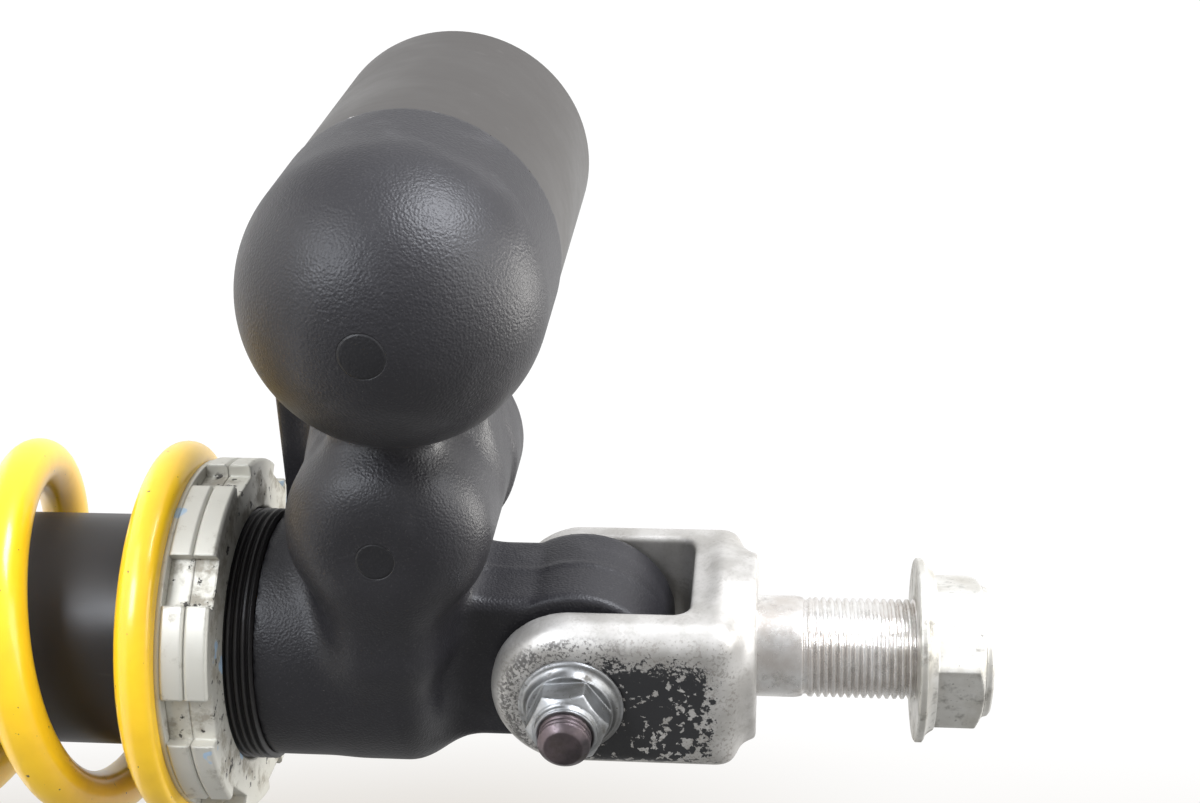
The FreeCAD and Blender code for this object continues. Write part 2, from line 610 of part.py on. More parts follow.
def on_boss(body):
    return lay_across(body, BOSS_X, BOSS_Z)


def compression_parts():
    face = size("boss_back")
    seat = face + size("running")
    bore_out = size("valve_bore") - size("running")
    needle_bore = size("needle_radius") + size("slip") * 2
    screw_bore = size("adjuster_radius") + size("running")
    inside = seat - size("plug_length")
    spindle_end = inside - size("spindle_length")
    head_high = seat + size("plug_head")
    spindle, section = size("spindle_radius"), size("o_ring_section")
    groove_low = face - 6
    plug = new_body("compression_plug")
    padded(plug, polygon(6, size("plug_flats")), seat, head_high)
    turned(plug, [(0, spindle_end), (spindle, spindle_end), (spindle, inside), (bore_out, inside),
                  (bore_out, groove_low), (bore_out - section, groove_low), (bore_out - section, groove_low + section),
                  (bore_out, groove_low + section), (bore_out, seat), (size("plug_flats") / 2, seat),
                  (size("plug_flats") / 2, head_high - 0.8), (size("plug_flats") / 2 - 0.8, head_high), (0, head_high)])
    screw_low = head_high - size("adjuster_length") - 0.6
    grooved(plug, [(0, spindle_end - 1), (needle_bore, spindle_end - 1), (needle_bore, screw_low - 3),
                   (screw_bore, screw_low - 3), (screw_bore, head_high + 1), (0, head_high + 1)])
    on_boss(plug)
    on_boss(ring("compression_o_ring", bore_out - section + size("running"), size("valve_bore") - size("running") / 2,
                 groove_low + size("running"), groove_low + section - size("running")))
    nut_low = spindle_end + 1
    piston_low = nut_low + size("valve_nut_height") + size("running")
    piston_high = piston_low + size("valve_piston_height")
    hub = spindle + size("running")
    piston = ring("compression_piston", hub, bore_out, piston_low, piston_high)
    for port in range(4):
        angle = math.radians(45 + 90 * port)
        reach = (spindle + bore_out) / 2
        primitive(piston, "SubtractiveCylinder", (reach * math.cos(angle), reach * math.sin(angle), piston_low - 1),
                  {"Radius": size("passage_radius") * 0.45, "Height": size("valve_piston_height") + 2})
    on_boss(piston)
    shims = new_body("compression_shims")
    height, gap = size("shim_height"), size("running")
    for layer in range(3):
        low = piston_high + gap + (height + gap) * layer
        reach = bore_out - 2 - layer
        turned(shims, [(hub, low), (reach, low), (reach, low + height), (hub, low + height)])
    on_boss(shims)
    nut = new_body("compression_piston_nut")
    padded(nut, polygon(6, size("valve_nut_flats")), nut_low, piston_low - gap)
    grooved(nut, [(0, nut_low - 1), (hub, nut_low - 1), (hub, piston_low + 1), (0, piston_low + 1)])
    on_boss(nut)
    slotted_screw("compression_adjuster_screw", size("adjuster_radius"), screw_low, head_high - 0.6)
    on_boss(doc.getObject("compression_adjuster_screw"))
    needle = new_body("compression_needle")
    tip = screw_low - 3 - size("needle_length")
    thin = size("needle_radius")
    turned(needle, [(0, tip), (0.3, tip), (thin, tip + 4), (thin, screw_low - 2.4), (0, screw_low - 2.4)])
    on_boss(needle)


def slotted_screw(label, radius, low, high):
    """A round adjuster along the body's Z axis, with a screwdriver slot in its high end."""
    screw = new_body(label)
    turned(screw, [(0, low), (radius, low), (radius, high - 0.4), (radius - 0.4, high), (0, high)])
    slot = size("slot_width") / 2
    block(screw, (-radius - 1, -slot, high - size("slot_depth")), (radius + 1, slot, high + 1), cut=True)
    return screw


# ---- damper tube, its seals and cap ----

TUBE_BOTTOM = -size("tube_bottom")


def tube_parts():
    tube = new_body("damper_tube")
    bore, outer = size("tube_bore"), size("tube_radius")
    crest, depth = size("thread_radius"), size("thread_depth")
    spigot, spigot_top = size("spigot_radius"), HEAD_BOTTOM + size("spigot_length")
    shoulder = HEAD_BOTTOM - size("running")
    thread_low = -size("thread_end")
    groove_high, section = shoulder + 6, size("o_ring_section")
    points = [(bore, TUBE_BOTTOM), (outer, TUBE_BOTTOM), (outer, thread_low), (crest - depth, thread_low)]
    points += list(reversed(thread(crest, depth, thread_low + 0.4, shoulder, size("fine_pitch"))))
    points += [(crest - depth, shoulder), (spigot, shoulder), (spigot, groove_high - section),
               (spigot - section * 0.6, groove_high - section), (spigot - section * 0.6, groove_high),
               (spigot, groove_high), (spigot, spigot_top), (bore, spigot_top)]
    turned(tube, points)
    ring("tube_o_ring", spigot - section * 0.6 + size("running"), spigot + size("running") / 2,
         groove_high - section + size("running"), groove_high - size("running"))

    low, high = TUBE_BOTTOM + 2, TUBE_BOTTOM + size("seal_head_height")
    rod, gap = size("rod_radius"), size("running")
    bush_out, fit = rod + size("rod_bush_wall"), bore - gap
    seal_top = low + size("oil_seal_height") + size("wiper_height")
    waist = high - 6
    head = new_body("seal_head")
    turned(head, [(size("oil_seal_radius"), low), (fit, low), (fit, waist - section), (fit - section, waist - section),
                  (fit - section, waist), (fit, waist), (fit, high), (bush_out, high), (bush_out, seal_top),
                  (size("oil_seal_radius"), seal_top)])
    ring("seal_head_o_ring", fit - section + gap, bore - gap / 2, waist - section + gap, waist - gap)
    ring("rod_bush", rod + gap, bush_out, seal_top + gap, high)
    ring("oil_seal", rod + gap, size("oil_seal_radius"), low + size("wiper_height"), seal_top)
    ring("dust_wiper", rod + gap, size("oil_seal_radius"), low, low + size("wiper_height") - gap)
    ring("stopper_ring", rod + 4, fit, TUBE_BOTTOM + gap, low - gap)
    cap = new_body("tube_end_cap")
    rim, lip = size("end_cap_radius"), TUBE_BOTTOM + size("end_cap_lip")
    base = TUBE_BOTTOM - size("end_cap_thickness")
    turned(cap, [(rod + 1.5, base), (rim - 1.2, base), (rim, base + 1.2), (rim, lip), (outer + gap, lip),
                 (outer + gap, TUBE_BOTTOM - gap), (rod + 1.5, TUBE_BOTTOM - gap)])


# ---- preload rings, spring and its seats ----

SEAT_TOP = -size("adjuster_ring_bottom") - size("running")
SPRING_TOP = SEAT_TOP - size("upper_seat_thickness")
SPRING_BOTTOM = SPRING_TOP - size("spring_length")


def castle_ring(label, low, high):
    """A round nut with notches about its rim for a hook spanner."""
    body = new_body(label)
    bore = size("thread_radius") + size("running")
    rim, edge = size("ring_radius"), size("ring_edge")
    turned(body, [(bore + edge, low), (rim - edge, low), (rim, low + edge), (rim, high - edge), (rim - edge, high),
                  (bore + edge, high), (bore, high - edge), (bore, low + edge)])
    half, floor = size("ring_notch_width") / 2, rim - size("ring_notch_depth")
    sketch = new_sketch(body, "XY_Plane", high + 1)
    outline(sketch, [(floor, -half), (rim + 2, -half), (rim + 2, half), (floor, half)])
    notch = body.newObject("PartDesign::Pocket", label + "_notch")
    notch.Profile = sketch
    notch.Length = number(high) - number(low) + 2
    bind(notch, "Length", high - low + 2)
    pattern = body.newObject("PartDesign::PolarPattern", label + "_notches")
    pattern.Originals = [notch]
    pattern.Axis = (sketch, ["N_Axis"])
    pattern.Angle = 360
    pattern.Occurrences = int(size("ring_notches").value)
    bind(pattern, "Occurrences", size("ring_notches"))
    body.Tip = pattern
    turn_about_axis(body, size("ring_turn"))
    return body


def spring_parts():
    low = -size("adjuster_ring_bottom")
    thick = size("ring_thickness")
    castle_ring("preload_adjuster_ring", low, low + thick)
    castle_ring("preload_lock_ring", low + thick + size("slip"), low + thick * 2 + size("slip"))
    ring("spring_upper_seat", size("thread_radius") + size("running") * 4, size("ring_radius") - size("ring_edge"),
         SPRING_TOP, SEAT_TOP)
    wire, outer = size("wire_radius"), size("spring_outer_radius")
    spring = new_body("coil_spring")
    sketch = new_sketch(spring, "XZ_Plane")
    centre = Vec(number(outer - wire), number(SPRING_BOTTOM), 0)
    sketch.addGeometry(Part.Circle(centre, Vec(0, 0, 1), wire.value))
    for kind, value in (("DistanceX", outer - wire), ("DistanceY", SPRING_BOTTOM)):
        index = sketch.addConstraint(Sketcher.Constraint(kind, -1, 1, 0, 3, number(value)))
        bind(sketch, f"Constraints[{index}]", value)
    index = sketch.addConstraint(Sketcher.Constraint("Radius", 0, wire.value))
    bind(sketch, f"Constraints[{index}]", wire)
    helix = spring.newObject("PartDesign::AdditiveHelix", "coil_spring_helix")
    helix.Profile = sketch
    helix.ReferenceAxis = (sketch, ["V_Axis"])
    helix.Mode = 0
    helix.Pitch = size("spring_pitch").value
    helix.Height = size("spring_length").value
    bind(helix, "Pitch", size("spring_pitch"))
    bind(helix, "Height", size("spring_length"))
    reach = outer + 5
    block(spring, (-reach, -reach, SPRING_TOP), (reach, reach, SPRING_TOP + wire * 2), cut=True)
    block(spring, (-reach, -reach, SPRING_BOTTOM - wire * 2), (reach, reach, SPRING_BOTTOM), cut=True)
    turn_about_axis(spring, size("spring_turn"))

    seat = new_body("spring_lower_seat")
    rim, hub = size("lower_seat_radius"), size("hub_radius") + size("running")
    under, lip = SPRING_BOTTOM - size("lower_seat_thickness"), SPRING_BOTTOM + size("lower_seat_rim")
    track = size("spring_outer_radius") + size("hair")
    turned(seat, [(hub, under), (rim - 5, under), (rim, under + 3), (rim, lip), (track, lip),
                  (track, SPRING_BOTTOM - size("running")), (hub, SPRING_BOTTOM - size("running"))])


# ---- piston rod and piston ----

SEAL_TOP = TUBE_BOTTOM + size("seal_head_height")
RUBBER_TOP = SEAL_TOP + size("running") + size("top_out_rubber_height")
ROD_SHOULDER = RUBBER_TOP + size("running") * 2 + size("top_out_spacer_length")
SHIM_STEP = size("shim_height") + size("running")
PISTON_LOW = ROD_SHOULDER + size("running") + SHIM_STEP * 3
PISTON_HIGH = PISTON_LOW + size("piston_height")
NUT_LOW = PISTON_HIGH + size("running") + SHIM_STEP * 3
ROD_TOP = NUT_LOW + size("piston_nut_height") + size("rod_past_nut")
HUB_TOP = SPRING_BOTTOM + size("hub_rise")
ROD_BOTTOM = HUB_TOP - size("rod_in_fork")


def rod_parts():
    rod, stem, bore = size("rod_radius"), size("rod_thread_radius"), size("rod_bore")
    gap = size("running")
    body = new_body("piston_rod")
    turned(body, [(bore, ROD_BOTTOM), (rod, ROD_BOTTOM), (rod, ROD_SHOULDER), (stem, ROD_SHOULDER),
                  (stem, ROD_TOP - 0.8), (stem - 0.8, ROD_TOP), (bore, ROD_TOP)])
    hub, wall = stem + gap, size("tube_bore") - gap
    height = size("shim_height")
    seat_disc = ROD_SHOULDER + gap
    layers = [(wall - 6, seat_disc), (wall - 4, seat_disc + height + gap), (wall - 2, seat_disc + (height + gap) * 2)]
    shim_stack("rebound_shims", hub, layers, height)
    piston_low, piston_high = PISTON_LOW, PISTON_HIGH
    middle, band = (piston_low + piston_high) / 2, size("piston_band_height") / 2
    depth = size("piston_band_depth")
    piston = new_body("damper_piston")
    turned(piston, [(hub, piston_low), (wall - 0.3, piston_low), (wall - 0.3, middle - band), (wall - depth, middle - band),
                    (wall - depth, middle + band), (wall - 0.3, middle + band), (wall - 0.3, piston_high),
                    (hub, piston_high)])
    for port in range(6):
        angle = math.radians(60 * port)
        reach = (hub + wall) / 2
        primitive(piston, "SubtractiveCylinder", (reach * math.cos(angle), reach * math.sin(angle), piston_low - 1),
                  {"Radius": size("passage_radius") * 0.5, "Height": size("piston_height") + 2})
    ring("piston_band", wall - depth + gap, wall, middle - band + gap, middle + band - gap)
    top = piston_high + gap
    layers = [(wall - 2, top), (wall - 4, top + height + gap), (wall - 6, top + (height + gap) * 2)]
    shim_stack("piston_shims", hub, layers, height)
    nut_low = NUT_LOW
    nut = new_body("piston_nut")
    padded(nut, polygon(6, size("piston_nut_flats")), nut_low, nut_low + size("piston_nut_height"))
    grooved(nut, [(0, nut_low - 1), (hub, nut_low - 1), (hub, nut_low + size("piston_nut_height") + 1),
                  (0, nut_low + size("piston_nut_height") + 1)])
    ring("top_out_rubber", rod + gap, size("top_out_radius"), SEAL_TOP + gap, RUBBER_TOP)
    ring("top_out_spacer", rod + gap, size("top_out_radius"), RUBBER_TOP + gap, ROD_SHOULDER - gap)
    bump_stop_parts()


def shim_stack(label, inner, layers, height):
    """Thin flat springs of the damping valve, as separate discs."""
    body = new_body(label)
    for reach, low in layers:
        turned(body, [(inner, low), (reach, low), (reach, low + height), (inner, low + height)])
    return body


def bump_stop_parts():
    rod, gap = size("rod_radius"), size("running")
    base = HUB_TOP + gap
    wall, cup = size("bump_cup_wall"), size("bump_cup_radius")
    holder = new_body("bump_stop_cup")
    turned(holder, [(rod + gap, base), (cup, base), (cup, base + size("bump_cup_height")),
                    (cup - wall, base + size("bump_cup_height")), (cup - wall, base + wall), (rod + gap, base + wall)])
    low = base + wall + gap
    high = base + size("bump_stop_length")
    wide, inner = size("bump_stop_radius"), rod + gap
    length = size("bump_stop_length")
    stop = new_body("bump_stop")
    turned(stop, [(inner, low), (wide, low), (wide + 1, low + length * 0.2), (wide - 2, low + length * 0.42),
                  (wide - 0.5, low + length * 0.62), (wide - 4, high), (inner, high)])


# ---- lower fork and the rebound adjuster ----

FORK_SHOULDER = SPRING_BOTTOM - size("lower_seat_thickness") - size("running")
BLOCK_TOP = FORK_SHOULDER - size("fork_flange_height")
BLOCK_LOW = BLOCK_TOP - size("fork_block_height")
LOWER_PIVOT = BLOCK_LOW - size("lower_pivot_below_block")
REBOUND_Z = ROD_BOTTOM - size("rebound_below_rod")


def lower_fork():
    body = new_body("lower_fork")
    hub, flange = size("hub_radius"), size("fork_flange_radius")
    shoulder, block_top, block_low = FORK_SHOULDER, BLOCK_TOP, BLOCK_LOW
    half, inner = size("fork_half_width"), size("fork_gap") / 2
    outer = inner + size("fork_arm")
    turned(body, [(0, block_top - 2), (flange, block_top - 2), (flange, shoulder), (hub, shoulder), (hub, HUB_TOP - 1),
                  (hub - 1, HUB_TOP), (0, HUB_TOP)])
    block(body, (-half, -outer, block_low), (half, outer, block_top))
    for side in (-1, 1):
        low, high = (-outer, -inner) if side < 0 else (inner, outer)
        block(body, (-half, low, LOWER_PIVOT), (half, high, block_low))
        rod_along(body, ALONG_Y, (0, low, LOWER_PIVOT), half, high - low)
    rod_along(body, ALONG_Y, (0, -outer - 1, LOWER_PIVOT), size("lower_bore"), outer * 2 + 2, cut=True)
    rod, screw = size("rod_radius") + size("running"), size("rebound_screw_radius")
    well = size("rod_bore")
    grooved(body, [(0, REBOUND_Z), (well, REBOUND_Z), (well, ROD_BOTTOM - size("running")),
                   (rod, ROD_BOTTOM - size("running")), (rod, HUB_TOP + 1), (0, HUB_TOP + 1)])
    rod_along(body, ALONG_Y, (0, -outer - 1, REBOUND_Z), screw + size("running"),
              size("rebound_screw_length") + 1.8, cut=True)
    outside = outer.value
    round_edges(body, size("fork_edge"), lambda e: (all_near(e, 1, outside) or all_near(e, 1, -outside))
                and e.BoundBox.DiagonalLength > 15.0, "Chamfer")
    return body


def rebound_parts():
    outer = size("fork_gap") / 2 + size("fork_arm")
    screw = slotted_screw("rebound_adjuster_screw", size("rebound_screw_radius"), outer - size("rebound_screw_length") - 0.6,
                          outer - 0.6)
    screw.Placement = FreeCAD.Placement(Vec(0, 0, REBOUND_Z.value), FreeCAD.Rotation(Vec(1, 0, 0), 90))
    bind(screw, "Placement.Base.z", REBOUND_Z)
    low = REBOUND_Z + size("rebound_screw_radius") + size("hair")
    thin = size("push_rod_radius")
    high = ROD_TOP - size("push_rod_below_top")
    rod = new_body("rebound_push_rod")
    turned(rod, [(0, low), (thin, low), (thin, high - 6), (0.4, high), (0, high)])


# ---- make, test and write ----

def build():
    upper_bracket()
    stud_nut()
    pivot_bolt()
    pivot_nut()
    pivot_parts()
    head_casting()
    reservoir_parts()
    compression_parts()
    tube_parts()
    spring_parts()
    rod_parts()
    lower_fork()
    rebound_parts()
    doc.recompute()


def test():
    """Every object recomputed, and every sub-part a valid shape."""
    for thing in doc.Objects:
        if {"Invalid", "Error"} & set(thing.State):
            raise RuntimeError(f"{thing.Name} is {thing.State}")
    for body in bodies:
        if body.Shape.isNull() or not body.Shape.isValid():
            raise RuntimeError(f"{body.Label} has no valid shape")


def write():
    os.makedirs("parts", exist_ok=True)
    for body in bodies:
        body.Shape.exportStep(os.path.join("parts", body.Label + ".step"))
    print(len(bodies), "sub-parts written")


build()
test()
write()
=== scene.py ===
# %% [markdown]
# # The rear shock absorber of a sport motorcycle
#
# This is a damper with a coil spring round it, hung from a forked bracket with a threaded stud. A gas
# reservoir lies across it on a cast neck. The machined parts come from a CAD model and keep their shape.
# The casting, the spring and the nuts are made again here, because their looks depend on soft fillets,
# chamfers and rolled edges that a CAD solid leaves out.

# %% Load the machined parts
import json
import math

import bpy
import mathutils
import numpy as np
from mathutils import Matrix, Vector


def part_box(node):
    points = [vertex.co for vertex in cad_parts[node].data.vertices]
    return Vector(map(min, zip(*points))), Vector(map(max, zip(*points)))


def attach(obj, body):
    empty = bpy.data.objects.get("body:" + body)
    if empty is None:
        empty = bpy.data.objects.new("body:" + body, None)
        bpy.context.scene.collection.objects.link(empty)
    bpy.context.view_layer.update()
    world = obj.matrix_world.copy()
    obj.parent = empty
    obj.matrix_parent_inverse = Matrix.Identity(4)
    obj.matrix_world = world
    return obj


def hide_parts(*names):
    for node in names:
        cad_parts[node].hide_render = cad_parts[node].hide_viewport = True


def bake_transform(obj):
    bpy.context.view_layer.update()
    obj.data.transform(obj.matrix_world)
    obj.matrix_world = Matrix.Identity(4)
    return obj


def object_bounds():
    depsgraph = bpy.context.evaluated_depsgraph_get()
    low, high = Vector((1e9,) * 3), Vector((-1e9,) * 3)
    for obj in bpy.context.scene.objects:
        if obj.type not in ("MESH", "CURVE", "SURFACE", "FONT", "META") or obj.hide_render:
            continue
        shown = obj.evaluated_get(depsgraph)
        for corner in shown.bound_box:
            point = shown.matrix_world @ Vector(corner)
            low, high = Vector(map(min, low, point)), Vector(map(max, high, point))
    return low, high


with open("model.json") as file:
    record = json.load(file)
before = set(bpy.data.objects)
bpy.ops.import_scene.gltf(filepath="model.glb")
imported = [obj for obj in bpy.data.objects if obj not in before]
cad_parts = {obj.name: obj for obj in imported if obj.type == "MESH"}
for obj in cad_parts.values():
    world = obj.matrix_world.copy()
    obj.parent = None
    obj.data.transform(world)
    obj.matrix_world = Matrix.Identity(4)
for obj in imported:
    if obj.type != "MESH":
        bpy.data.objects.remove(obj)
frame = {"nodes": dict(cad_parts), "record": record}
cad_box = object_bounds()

MM = 0.001
print(len(frame["nodes"]), "machined parts, in a box", [round(v, 3) for v in cad_box[1] - cad_box[0]])

# %% [markdown]
# ## Places that the pieces share
#
# Z is the damper's axis, up. Y is the axis of the pivot bolt. The compression valve's boss and the
# reservoir both lie along Y. Each value below is in millimetres, and what the machined parts already say
# is read from their boxes, so that a new piece lands where its neighbour is.

# %% Read the places from the machined parts


def box_mm(node):
    """The lowest and highest corner of a part, in millimetres."""
    low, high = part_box(node)
    return np.array(low) / MM, np.array(high) / MM


tube_low, tube_high = box_mm("reservoir_tube")
bolt_low, bolt_high = box_mm("pivot_bolt")
plug_low, plug_high = box_mm("compression_plug")
seat_low = box_mm("spring_upper_seat")[0]
tray_high = box_mm("spring_lower_seat")[1]
RESERVOIR = (tube_low + tube_high) / 2
BOSS = (plug_low + plug_high) / 2
PIVOT_Z = (bolt_low[2] + bolt_high[2]) / 2
SPRING_TOP = seat_low[2]
SPRING_BOTTOM = tray_high[2] - 3.0
print("pivot", round(PIVOT_Z, 2), "boss", BOSS.round(2), "reservoir", RESERVOIR.round(2))
print("spring from", round(SPRING_BOTTOM, 2), "to", round(SPRING_TOP, 2))

# %% [markdown]
# ## From arrays to a mesh
#
# Blender takes a whole array of points at once. A grid of points with two parameters becomes a sheet of
# four-sided faces, closed in one direction or both, which is how a wire or a turned part is made.

# %% Make a mesh from arrays


def add_piece(name, points, faces, body, smooth_under=40.0):
    """Makes an object from points in millimetres, smooth where faces meet under an angle, and hangs it on
    a body."""
    mesh = bpy.data.meshes.new(name)
    mesh.from_pydata((np.asarray(points) * MM).tolist(), [], [list(face) for face in faces])
    mesh.validate()
    mesh.shade_smooth()
    mesh.set_sharp_from_angle(angle=math.radians(smooth_under))
    piece = bpy.data.objects.new(name, mesh)
    bpy.context.scene.collection.objects.link(piece)
    if body:
        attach(piece, body)
    print(name, len(mesh.vertices), "points", len(mesh.polygons), "faces")
    return piece


def grid_faces(rows, columns, close_rows=False):
    """Four-sided faces of a grid whose columns close on themselves. Point j of row i is number
    columns * i + j."""
    last = rows if close_rows else rows - 1
    i, j = np.meshgrid(np.arange(last), np.arange(columns), indexing="ij")
    row, next_row = i * columns, (i + 1) % rows * columns
    beside = (j + 1) % columns
    return np.stack([row + j, row + beside, next_row + beside, next_row + j], -1).reshape(-1, 4).tolist()


def turned_points(radius, around, level):
    """Points round Z from grids of radius, angle and height."""
    radius, around, level = np.broadcast_arrays(radius, around, level)
    return np.stack([radius * np.cos(around), radius * np.sin(around), level], -1).reshape(-1, 3)


def full_circle(columns):
    """Angles once round, without the last one that would fall on the first."""
    return np.linspace(0, 2 * np.pi, columns, endpoint=False)


# %% [markdown]
# ## The cast head
#
# One casting holds the eye, the damper's head, the valve boss, a column under it and the reservoir's dome.
# Its parts run into each other through generous fillets, as sand or die casting needs. Subdivision could
# model that by hand, but a distance field says it directly: each part is a function that gives how far a
# point is from its surface, and a smooth minimum of two such functions is a fillet. A regular grid of
# cells is then searched for the places where the field changes sign, and each such cell gives one point.

# %% Distance functions


def distance_to_cylinder(points, start, axis, length, radius, rounding):
    """How far points are from a cylinder along X, Y or Z: the larger of the side's and the ends' distance,
    rounded at the rim by moving both in and the whole surface out."""
    local = points - np.array(start, float)
    across = [k for k in range(3) if k != axis]
    side = np.hypot(local[..., across[0]], local[..., across[1]]) - (radius - rounding)
    ends = np.abs(local[..., axis] - length / 2) - (length / 2 - rounding)
    outside = np.hypot(np.maximum(side, 0), np.maximum(ends, 0))
    return outside + np.minimum(np.maximum(side, ends), 0) - rounding


def distance_to_block(points, low, high, rounding):
    """How far points are from a block between two corners, with rounded edges."""
    low, high = np.array(low, float), np.array(high, float)
    reach = np.abs(points - (low + high) / 2) - ((high - low) / 2 - rounding)
    outside = np.linalg.norm(np.maximum(reach, 0), axis=-1)
    return outside + np.minimum(reach.max(-1), 0) - rounding


def join(a, b, fillet):
    """The nearer of two surfaces, with a fillet where both are near: less a square of how alike they are."""
    near = np.maximum(fillet - np.abs(a - b), 0) / fillet
    return np.minimum(a, b) - near * near * fillet / 4


def cut(a, b, edge):
    """a with b taken away, with the new edge rounded over."""
    return -join(-a, b, edge)


# %% The casting's sizes

HEAD_RADIUS, EYE_RADIUS, BOSS_RADIUS, DOME_RADIUS, FLANGE_RADIUS = 24.5, 18.2, 19.6, 27.5, 20.4
HEAD_LOW, HEAD_HIGH, EYE_HALF, SKIRT_END, FLANGE_DEPTH = -96.4, -62.5, 12.5, 0.7, 12.0
DOME_CENTRE_Y, BOSS_FRONT, BOSS_BACK, HOLLOW_RADIUS = -18.3, -28.5, 24.0, 23.5
SHOULDER_ROUNDING, NOSE_ROUNDING = 7.0, 13.0
SEAM_HEIGHT, SEAM_WIDTH, RIM_GAP = 0.35, 0.7, 0.15
BORE_EDGE, PAST_END = 0.2, 5.0
SOCKET_DEPTH, OIL_DEPTH = 13.2, 25.9
ALONG_Y, ALONG_Z = 1, 2

BOSS_X, BOSS_Z = BOSS[0], BOSS[2]
DOME_X, DOME_Z = RESERVOIR[0], RESERVOIR[2]
DOME_CENTRE = np.array([DOME_X, DOME_CENTRE_Y, DOME_Z])

# Each block has its lowest corner, its highest corner and the rounding of its edges.
BLOCKS = {
    "arm": ((-16.4, -EYE_HALF, -80.0), (15.8, EYE_HALF, PIVOT_Z), 2.5),
    "neck": ((DOME_X + 6.0, -18.0, BOSS_Z - 9.5), (BOSS_X, 0.0, BOSS_Z + 10.0), 4.0),
    "column": ((BOSS_X, -26.2, BOSS_Z - 11.5), (-3.0, 0.0, BOSS_Z + 8.5), 7.0),
    "rear": ((DOME_X + 27.9, -1.0, BOSS_Z - 17.0), (BOSS_X, 19.0, BOSS_Z + 17.0), 3.0),
    "web": ((DOME_X + 31.5, 10.0, HEAD_LOW), (-18.0, 19.0, BOSS_Z), 2.0),
}
FILLETS = {"eye": 9.0, "boss": 7.0, "column": 6.0, "rear": 5.0, "web": 6.0, "flange": 2.0, "neck": 6.5,
           "dome": 5.0}

# Each bore has its start, its axis, its length and its radius.
BORES = {
    "tube socket": ((0, 0, HEAD_LOW - PAST_END), ALONG_Z, PAST_END + SOCKET_DEPTH, 21.95),
    "oil space": ((0, 0, HEAD_LOW - PAST_END), ALONG_Z, PAST_END + OIL_DEPTH, 19.8),
    "eye": ((0, -EYE_HALF - PAST_END, PIVOT_Z), ALONG_Y, 2 * (EYE_HALF + PAST_END), 12.0),
    "valve": ((BOSS_X, -12.0, BOSS_Z), ALONG_Y, 44.0, 13.0),
    "reservoir": (DOME_CENTRE, ALONG_Y, 30.0, HOLLOW_RADIUS),
    "reservoir seat": ((DOME_X, -11.2, DOME_Z), ALONG_Y, 30.0, 24.95),
}

# %% The casting's field


def turned_head(p):
    """The damper's head: a cylinder whose upper rim is rounded more than its lower one."""
    low, height = HEAD_LOW, HEAD_HIGH - HEAD_LOW
    below = 20.0
    head = distance_to_cylinder(p, (0, 0, low), ALONG_Z, height, HEAD_RADIUS, 0.5)
    return np.maximum(head, distance_to_cylinder(p, (0, 0, low - below), ALONG_Z, height + below, HEAD_RADIUS,
                                                 SHOULDER_ROUNDING))


def valve_boss(p):
    """The boss along Y with a sharp back and a nose whose rim is rounded."""
    start = (BOSS_X, BOSS_FRONT, BOSS_Z)
    boss = distance_to_cylinder(p, start, ALONG_Y, BOSS_BACK - BOSS_FRONT, BOSS_RADIUS, 0.8)
    return np.maximum(boss, distance_to_cylinder(p, start, ALONG_Y, 90.0, BOSS_RADIUS, NOSE_ROUNDING))


def reservoir_dome(p):
    """Half a ball in front, and behind its middle a skirt of the same radius."""
    ball = np.linalg.norm(p - DOME_CENTRE, axis=-1) - DOME_RADIUS
    inside = 10.0
    skirt = distance_to_cylinder(p, DOME_CENTRE - (0, inside, 0), ALONG_Y, SKIRT_END - DOME_CENTRE_Y + inside,
                                 DOME_RADIUS, 0.6)
    return np.where(p[..., 1] < DOME_CENTRE_Y, ball, skirt)


def casting_outside(p):
    """The outer skin: head, eye and arm, boss, column, web, flange and dome, joined one after the other."""
    block = {name: distance_to_block(p, *sizes) for name, sizes in BLOCKS.items()}
    eye = distance_to_cylinder(p, (0, -EYE_HALF, PIVOT_Z), ALONG_Y, 2 * EYE_HALF, EYE_RADIUS, 1.2)
    parting_line = SEAM_HEIGHT * np.exp(-((p[..., 1] / SEAM_WIDTH) ** 2))
    lug = np.minimum(eye, block["arm"]) - parting_line
    flange_start = (BOSS_X, BOSS_BACK - FLANGE_DEPTH, BOSS_Z)
    flange = distance_to_cylinder(p, flange_start, ALONG_Y, FLANGE_DEPTH, FLANGE_RADIUS, 1.0)
    whole = join(turned_head(p), lug, FILLETS["eye"])
    whole = join(whole, valve_boss(p), FILLETS["boss"])
    whole = join(whole, block["column"], FILLETS["column"])
    whole = join(whole, join(block["web"], block["rear"], FILLETS["rear"]), FILLETS["web"])
    whole = join(whole, flange, FILLETS["flange"])
    return join(whole, join(reservoir_dome(p), block["neck"], FILLETS["neck"]), FILLETS["dome"])


def casting(p):
    """The skin less the space for the reservoir behind the dome's rim, and less its bores."""
    side = np.hypot(p[..., 0] - DOME_X, p[..., 2] - DOME_Z)
    keep_out = np.maximum(SKIRT_END - p[..., 1], side - (DOME_RADIUS + RIM_GAP))
    field = np.maximum(casting_outside(p), -keep_out)
    field = np.maximum(field, HEAD_LOW - p[..., 2])
    for start, axis, length, radius in BORES.values():
        field = np.maximum(field, -distance_to_cylinder(p, start, axis, length, radius, BORE_EDGE))
    hollow = np.linalg.norm(p - DOME_CENTRE, axis=-1) - HOLLOW_RADIUS
    return np.maximum(field, -hollow)


dome_tip = DOME_CENTRE - (0, DOME_RADIUS, 0)
print("distance at the dome's tip", round(float(casting(dome_tip)), 3))

# %% Search a grid of cells for the surface


